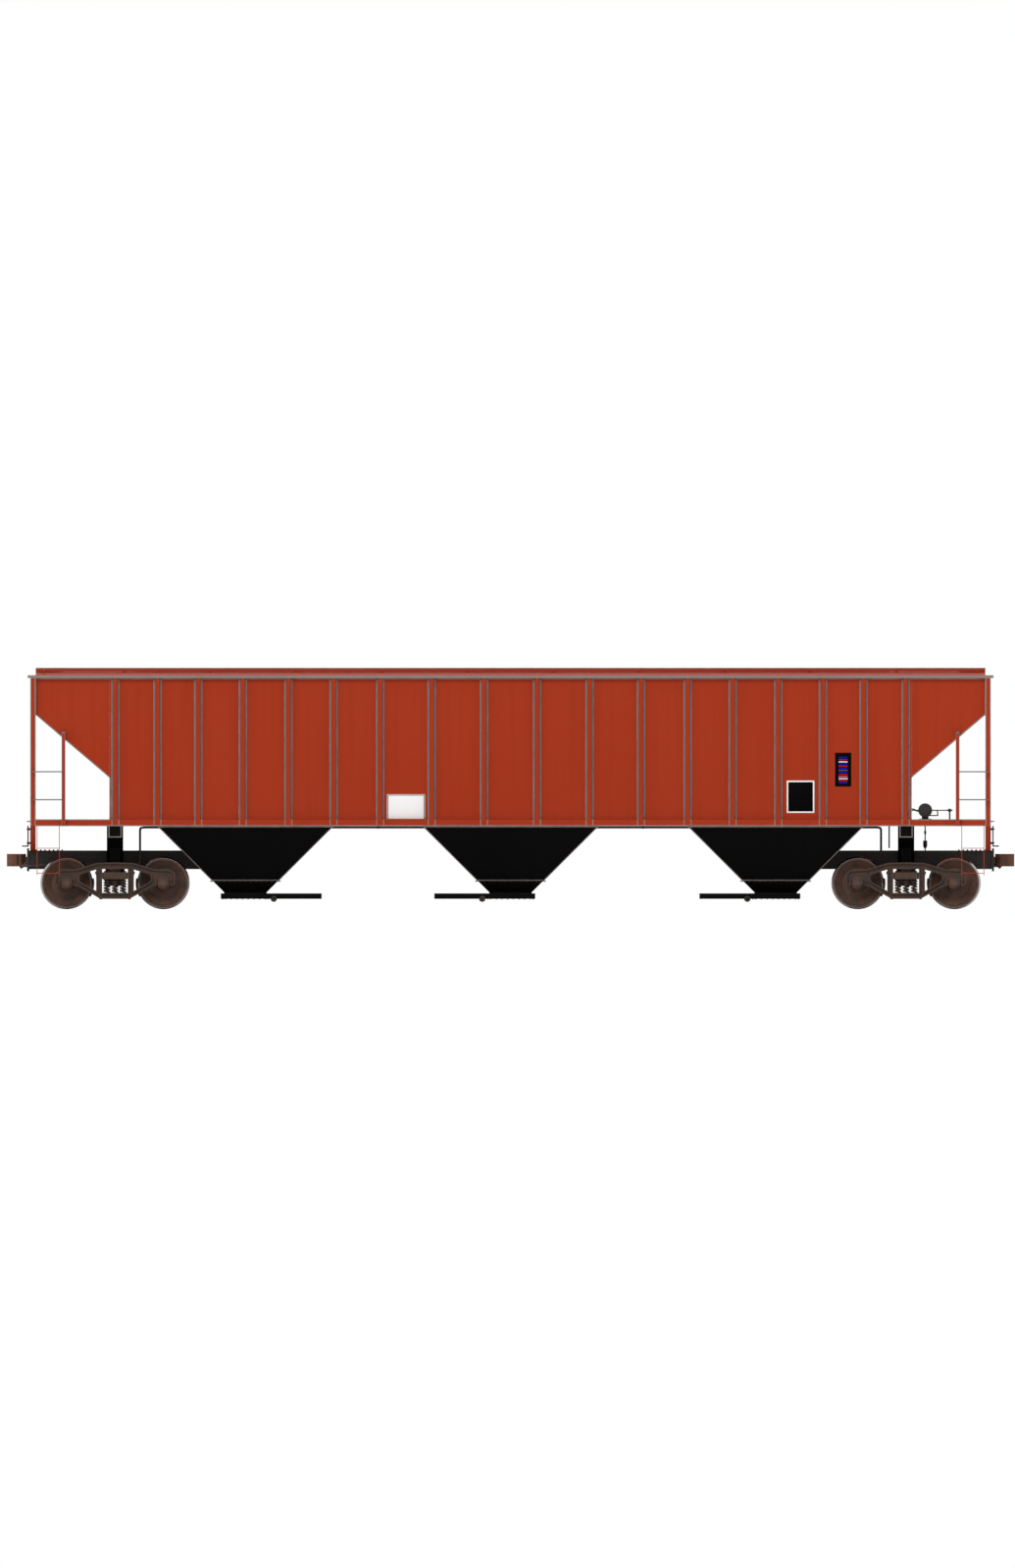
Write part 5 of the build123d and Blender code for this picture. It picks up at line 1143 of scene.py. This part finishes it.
makeEndFittings(endPlan)
print("ends fitted out")


# Brake pipes: bent pipe along the car, branches to the valve, and a cock at each end
pipePlan = {
    "mainRadius": 0.021, "branchRadius": 0.011, "resolution": 6,
    "main": [
        (8.960, 0.340, 0.800), (8.700, 0.340, 0.800), (8.500, 0.340, 0.830), (8.200, 0.340, 0.830),
        (7.200, 0.340, 0.830), (6.880, 0.340, 0.830), (6.800, 0.340, 0.830), (6.800, 0.340, 0.910),
        (6.800, 0.340, 1.370), (6.800, 0.340, 1.450), (6.800, 0.420, 1.450), (6.800, 1.300, 1.450),
        (6.800, 1.455, 1.450), (6.790, 1.455, 1.502), (6.600, 1.455, 1.502),
        (0.000, 1.455, 1.502), (-6.600, 1.455, 1.502), (-6.790, 1.455, 1.502), (-6.800, 1.455, 1.450),
        (-6.800, 1.300, 1.450), (-6.800, -0.260, 1.450), (-6.800, -0.340, 1.450), (-6.800, -0.340, 1.370),
        (-6.800, -0.340, 0.910), (-6.800, -0.340, 0.830), (-6.880, -0.340, 0.830), (-7.200, -0.340, 0.830),
        (-8.200, -0.340, 0.830), (-8.500, -0.340, 0.830), (-8.700, -0.340, 0.800), (-8.960, -0.340, 0.800),
    ],
    "branches": [
        [(7.610, 0.340, 0.840), (7.610, 0.340, 1.000), (7.610, 0.345, 1.500), (7.610, 0.351, 1.660)],
        [(7.560, 0.420, 1.800), (7.500, 0.420, 1.800), (7.440, 0.420, 1.800), (7.420, 0.420, 1.841),
         (7.345, 0.420, 1.841)],
        [(7.660, 0.300, 1.720), (7.770, 0.300, 1.720), (7.840, 0.300, 1.720), (7.840, 0.230, 1.720),
         (7.840, -0.850, 1.720), (7.840, -0.930, 1.720), (7.840, -0.950, 1.816), (7.780, -0.950, 1.816),
         (7.725, -0.950, 1.816)],
    ],
    "clampPlaces": (-5.8, -4.2, -2.43, -0.6, 1.2, 2.43, 4.2, 5.8), "clampY": 1.455, "clampZ": 1.502,
    "clampHalf": 0.018, "clampSwell": 1.22, "padHalf": 0.037, "padZ": (1.515, 1.5255), "padEdge": 0.0015,
    "padBolt": 0.030, "boltAcross": 0.010, "boltHeight": 0.008,
    "cockRods": (  # start and end as (out, up) from the pipe's end, radius as a share of the pipe's, sides
        ((-0.130, 0), (-0.104, 0), 1.5, 6),
        ((-0.110, 0), (-0.010, 0), 1.35, 16),
        ((-0.060, 0), (-0.060, 0.044), 1.2, 16),
        ((-0.060, 0.040), (-0.060, 0.052), 0.8, 6),
        ((-0.020, 0), (0.030, -0.030), 1.3, 16),
        ((0.022, -0.024), (0.040, -0.040), 1.5, 6),
    ),
    "cockHandle": ((-0.060, 0.056), (-0.190, 0.056)), "cockWidth": 0.022, "handleThick": 0.006,
    "bracketX": (8.705, 8.725), "bracketY": (0.165, 0.372), "bracketZ": (0.822, 0.834), "bracketEdge": 0.001,
    "branchRods": (  # foot, top, radius, sides and taper of the tee, the dirt collector and the valve's nut
        ((7.610, 0.340, 0.800), (7.610, 0.340, 0.860), 0.0315, 16, 1.0),
        ((7.570, 0.340, 0.830), (7.650, 0.340, 0.830), 0.0315, 16, 1.0),
        ((7.610, 0.342, 1.160), (7.610, 0.342, 1.260), 0.038, 20, 1.0),
        ((7.610, 0.342, 1.120), (7.610, 0.342, 1.160), 0.024, 20, 1.5),
        ((7.610, 0.343, 1.380), (7.610, 0.343, 1.440), 0.022, 6, 1.0),
    ),
    "branchHandle": ((7.610, 0.365, 1.410), (7.610, 0.375, 1.310)), "branchWidth": 0.018,
}


def addPipes(name, routes, radius, plan):
    # Smooth bends through the points, as a pipe bender leaves them
    curve = bpy.data.curves.new(name, "CURVE")
    curve.dimensions = "3D"
    curve.bevel_depth = radius
    curve.bevel_resolution = 3
    curve.resolution_u = plan["resolution"]
    curve.use_fill_caps = True
    for route in routes:
        spline = curve.splines.new("NURBS")
        spline.points.add(len(route) - 1)
        for point, place in zip(spline.points, route):
            point.co = (*place, 1.0)
        spline.order_u = 3
        spline.use_endpoint_u = True
    curve.materials.append(materials["pipeSteel"])
    piece = bpy.data.objects.new(name, curve)
    scene.collection.objects.link(piece)
    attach(piece, "car_body")


def makePipes(plan):
    addPipes("train_line", [plan["main"]], plan["mainRadius"], plan)
    addPipes("brake_branches", plan["branches"], plan["branchRadius"], plan)
    bm = bmesh.new()
    radius, thick = plan["mainRadius"], plan["handleThick"]
    y, z, half = plan["clampY"], plan["clampZ"], plan["clampHalf"]
    padFoot, padTop = plan["padZ"]
    for x in plan["clampPlaces"]:  # clamps under the side sill
        addRod(bm, (x - half, y, z), (x + half, y, z), radius * plan["clampSwell"], 16)
        low, high = (x - half, y - plan["padHalf"], padFoot), (x + half, y + plan["padHalf"], padTop)
        addBlock(bm, low, high, plan["padEdge"])
        for shift in (-plan["padBolt"], plan["padBolt"]):
            addBolt(bm, (x, y + shift, padFoot), (0, 0, -1), plan["boltAcross"], plan["boltHeight"])
    for end in (1, -1):  # an angle cock at each end, its handle along the pipe, and the bracket behind it
        x, y, z = plan["main"][0]

        def spot(out, up):
            return Vector((end * (x + out), end * y, z + up))

        for start, stop, share, sides in plan["cockRods"]:
            addRod(bm, spot(*start), spot(*stop), radius * share, sides)
        start, stop = plan["cockHandle"]
        addBar(bm, spot(*start), spot(*stop), plan["cockWidth"], thick, (0, 0, 1))
        xs, ys = (sorted(end * value for value in plan[key]) for key in ("bracketX", "bracketY"))
        foot, top = plan["bracketZ"]
        addBlock(bm, (xs[0], ys[0], foot), (xs[1], ys[1], top), plan["bracketEdge"])
    for foot, top, width, sides, taper in plan["branchRods"]:
        addRod(bm, foot, top, width, sides, taper)
    addBar(bm, *plan["branchHandle"], plan["branchWidth"], thick, (0, 1, 0))
    finishPiece(bm, "pipe_fittings", "car_body", "pipeSteel", 40)


makePipes(pipePlan)
print("brake pipes run")


# Brake rigging on the deck: the cylinder's lever, the bell crank down to the truck, and the hand brake's rod
riggingPlan = {
    "leverNear": (7.180, -0.470, 1.816), "leverFar": (8.060, -0.470, 1.816),
    "leverWidth": 0.075, "leverThick": 0.020,
    "rodEnd": (7.610, -0.485, 1.816), "clevisLift": 0.018, "clevisY": (-0.050, 0.030), "clevisWidth": 0.050,
    "clevisThick": 0.008, "pinY": 0.015, "pinHalf": 0.034, "pinRadius": 0.012,
    "crank": (7.000, -0.120, 1.800), "crankX": (-0.060, 0.112), "crankWidth": 0.060, "crankThick": 0.018,
    "rodRadius": 0.014, "dropX": -0.050, "dropZ": 1.122,
    "brackets": (((7.095, -0.155, 1.650), (7.125, -0.085, 1.840)),
                 ((7.580, -0.300, 1.651), (7.640, -0.240, 1.690))),
    "bracketEdge": 0.004,
    "handRodTop": (8.060, -0.470, 1.640), "handRodEnd": (8.7545, -0.9705, 1.640), "handRodRadius": 0.0112,
    "eyeRadius": 0.026, "eyeZ": (-0.024, 0.010),
}


def makeRigging(plan):
    bm = bmesh.new()
    up = Vector((0, 0, 1))
    addBar(bm, plan["leverNear"], plan["leverFar"], plan["leverWidth"], plan["leverThick"], up)
    end = Vector(plan["rodEnd"])
    for side in (1, -1):  # clevis on the cylinder's rod
        start, stop = (end + Vector((0, y, side * plan["clevisLift"])) for y in plan["clevisY"])
        addBar(bm, start, stop, plan["clevisWidth"], plan["clevisThick"], up)
    foot, top = (end + Vector((0, plan["pinY"], lift)) for lift in (-plan["pinHalf"], plan["pinHalf"]))
    addRod(bm, foot, top, plan["pinRadius"], 12)
    joints = ("leverNear", "crank", "leverFar", "handRodTop", "handRodEnd")
    near, crank, far, top, hand = (Vector(plan[key]) for key in joints)
    start, stop = (crank + Vector((x, 0, 0)) for x in plan["crankX"])
    addBar(bm, start, stop, plan["crankWidth"], plan["crankThick"], (0, 1, 0))
    hung = crank + Vector((plan["dropX"], 0, 0))
    for start, stop, radius in (
        (near, crank, plan["rodRadius"]), (hung, Vector((hung.x, hung.y, plan["dropZ"])), plan["rodRadius"]),
        (far, top, plan["rodRadius"]), (top, hand, plan["handRodRadius"]),
    ):
        addRod(bm, start, stop, radius, 12)
    for low, high in plan["brackets"]:
        addBlock(bm, low, high, plan["bracketEdge"])
    foot, head = plan["eyeZ"]
    for place in (top, hand):
        addRod(bm, place + up * foot, place + up * head, plan["eyeRadius"], 16)
    finishPiece(bm, "brake_rigging", "car_body", "castSteel", 40)


# Bands and bolted feet on the tank and the cylinder, and flanges on the valve
tankPlan = {
    "tanks": (("air_reservoir", 0.150, (0.430, 0.960)), ("brake_cylinder", 0.125, (-0.940, -1.130))),
    "bandHalf": 0.018, "bandThick": 0.004, "footOut": 0.028, "footHalf": (0.030, 0.025), "footThick": 0.006,
    "footEdge": 0.001, "footBolt": 0.012,
    "flangeRadius": 0.060, "flangeThick": 0.006, "flangeBolts": 6, "boltCircle": 0.050, "boltSize": 0.008,
}


def makeTankFittings(plan):
    bm = bmesh.new()
    thick, (halfX, halfY) = plan["footThick"], plan["footHalf"]
    for node, radius, bands in plan["tanks"]:
        low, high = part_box(node)
        x, z = (low.x + high.x) / 2, high.z - radius
        for y in bands:
            start, stop = ((x, y + reach, z) for reach in (-plan["bandHalf"], plan["bandHalf"]))
            addRod(bm, start, stop, radius + plan["bandThick"], 48)
            for side in (1, -1):
                foot = x + side * (radius / 2 + plan["footOut"])
                low, high = (foot - halfX, y - halfY, sillTopZ), (foot + halfX, y + halfY, sillTopZ + thick)
                addBlock(bm, low, high, plan["footEdge"])
                addBolt(bm, (foot, y, sillTopZ + thick), (0, 0, 1), plan["footBolt"], plan["footBolt"])
    low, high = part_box("control_valve")
    middle = (low + high) / 2
    for y, side in ((low.y, -1), (high.y, 1)):
        face, out = Vector((middle.x, y, middle.z)), Vector((0, side, 0))
        addRod(bm, face, face + out * plan["flangeThick"], plan["flangeRadius"], 32)
        count, circle, size = plan["flangeBolts"], plan["boltCircle"], plan["boltSize"]
        addBoltCircle(bm, face + out * plan["flangeThick"], out, count, circle, size, size)
    finishPiece(bm, "brake_gear_fittings", "car_body", "brakeBlack", 40)


# The hand brake's release lever and the bolts of its housing
handBrakePlan = {
    "face": 8.782, "middle": (-0.9705, 2.851), "lever": ((0.060, 0.050), (0.175, -0.030)),
    "leverLift": 0.004, "leverWidth": 0.026, "leverThick": 0.006,
    "bolts": (0.095, 0.155), "boltAcross": 0.011, "boltHeight": 0.008,
}


def makeHandBrakeFittings(plan):
    bm = bmesh.new()
    (y, z), lift = plan["middle"], plan["face"] + plan["leverLift"]
    start, stop = ((lift, y + across, z + rise) for across, rise in plan["lever"])
    addBar(bm, start, stop, plan["leverWidth"], plan["leverThick"], (1, 0, 0))
    across, rise = plan["bolts"]
    for side in (1, -1):
        for height in (1, -1):
            spot = (plan["face"], y + side * across, z + height * rise)
            addBolt(bm, spot, (1, 0, 0), plan["boltAcross"], plan["boltHeight"])
    finishPiece(bm, "hand_brake_fittings", "car_body", "boltSteel", 40)


makeRigging(riggingPlan)
makeTankFittings(tankPlan)
makeHandBrakeFittings(handBrakePlan)
print("brake rigging hung")


# Floor and light: white all round, with soft lamps that render a colour about as it is written
stagePlan = {
    "floorHalf": 600.0, "floorLift": -0.002, "floorShade": 0.97, "cameraShare": 0.62, "skyLight": 0.62,
    "keyPower": 1.15, "keyTurn": (54, 0, -20),  # degrees
    "fillPower": 0.85, "fillTurn": (-52, 0, -28),
    "softness": 26,
}


def makeStage(plan):
    bm = bmesh.new()
    bmesh.ops.create_grid(bm, x_segments=1, y_segments=1, size=plan["floorHalf"])
    bmesh.ops.translate(bm, vec=(0, 0, plan["floorLift"]), verts=bm.verts)
    mesh = bpy.data.meshes.new("studioFloor")
    bm.to_mesh(mesh)
    bm.free()
    floor = bpy.data.objects.new("studioFloor", mesh)
    scene.collection.objects.link(floor)
    material, tree, sockets = newMaterial("floorWhite", specular=0.0)
    sockets["Base Color"].default_value = (*[plan["floorShade"]] * 3, 1)
    sockets["Roughness"].default_value = 1.0
    rays = addNode(tree, "ShaderNodeLightPath", -2, 3)
    glow = addNode(tree, "ShaderNodeEmission", -1, 3, values={"Color": (1, 1, 1, 1), "Strength": 1.0})
    mix = addNode(tree, "ShaderNodeMixShader", 1, 1)
    share = maths(tree, -1, 2, "MULTIPLY", rays.outputs["Is Camera Ray"], plan["cameraShare"])
    join(tree, share, mix.inputs[0])
    join(tree, tree.nodes["Principled BSDF"].outputs[0], mix.inputs[1])
    join(tree, glow.outputs[0], mix.inputs[2])
    join(tree, mix.outputs[0], tree.nodes["Material Output"].inputs["Surface"])
    mesh.materials.append(material)
    for name in ("key", "fill"):
        light = bpy.data.lights.new(name + "Lamp", "SUN")
        light.energy = plan[name + "Power"]
        light.angle = math.radians(plan["softness"])
        lamp = bpy.data.objects.new(name + "Lamp", light)
        lamp.rotation_euler = [math.radians(value) for value in plan[name + "Turn"]]
        scene.collection.objects.link(lamp)
    world = bpy.data.worlds.new("whiteRoom")
    scene.world = world
    world.use_nodes = True
    tree = world.node_tree
    shade = tree.nodes["Background"]
    rays = addNode(tree, "ShaderNodeLightPath", -5, 0)
    seen = maths(tree, -4, 0, "MAXIMUM", rays.outputs["Is Camera Ray"], rays.outputs["Is Glossy Ray"])
    seen = maths(tree, -3, 0, "MAXIMUM", seen, rays.outputs["Is Transmission Ray"])
    shade.inputs["Color"].default_value = (1, 1, 1, 1)
    join(tree, remap(tree, -2, 0, seen, 0.0, 1.0, plan["skyLight"], 1.0), shade.inputs["Strength"])


makeStage(stagePlan)
print("stage lit")
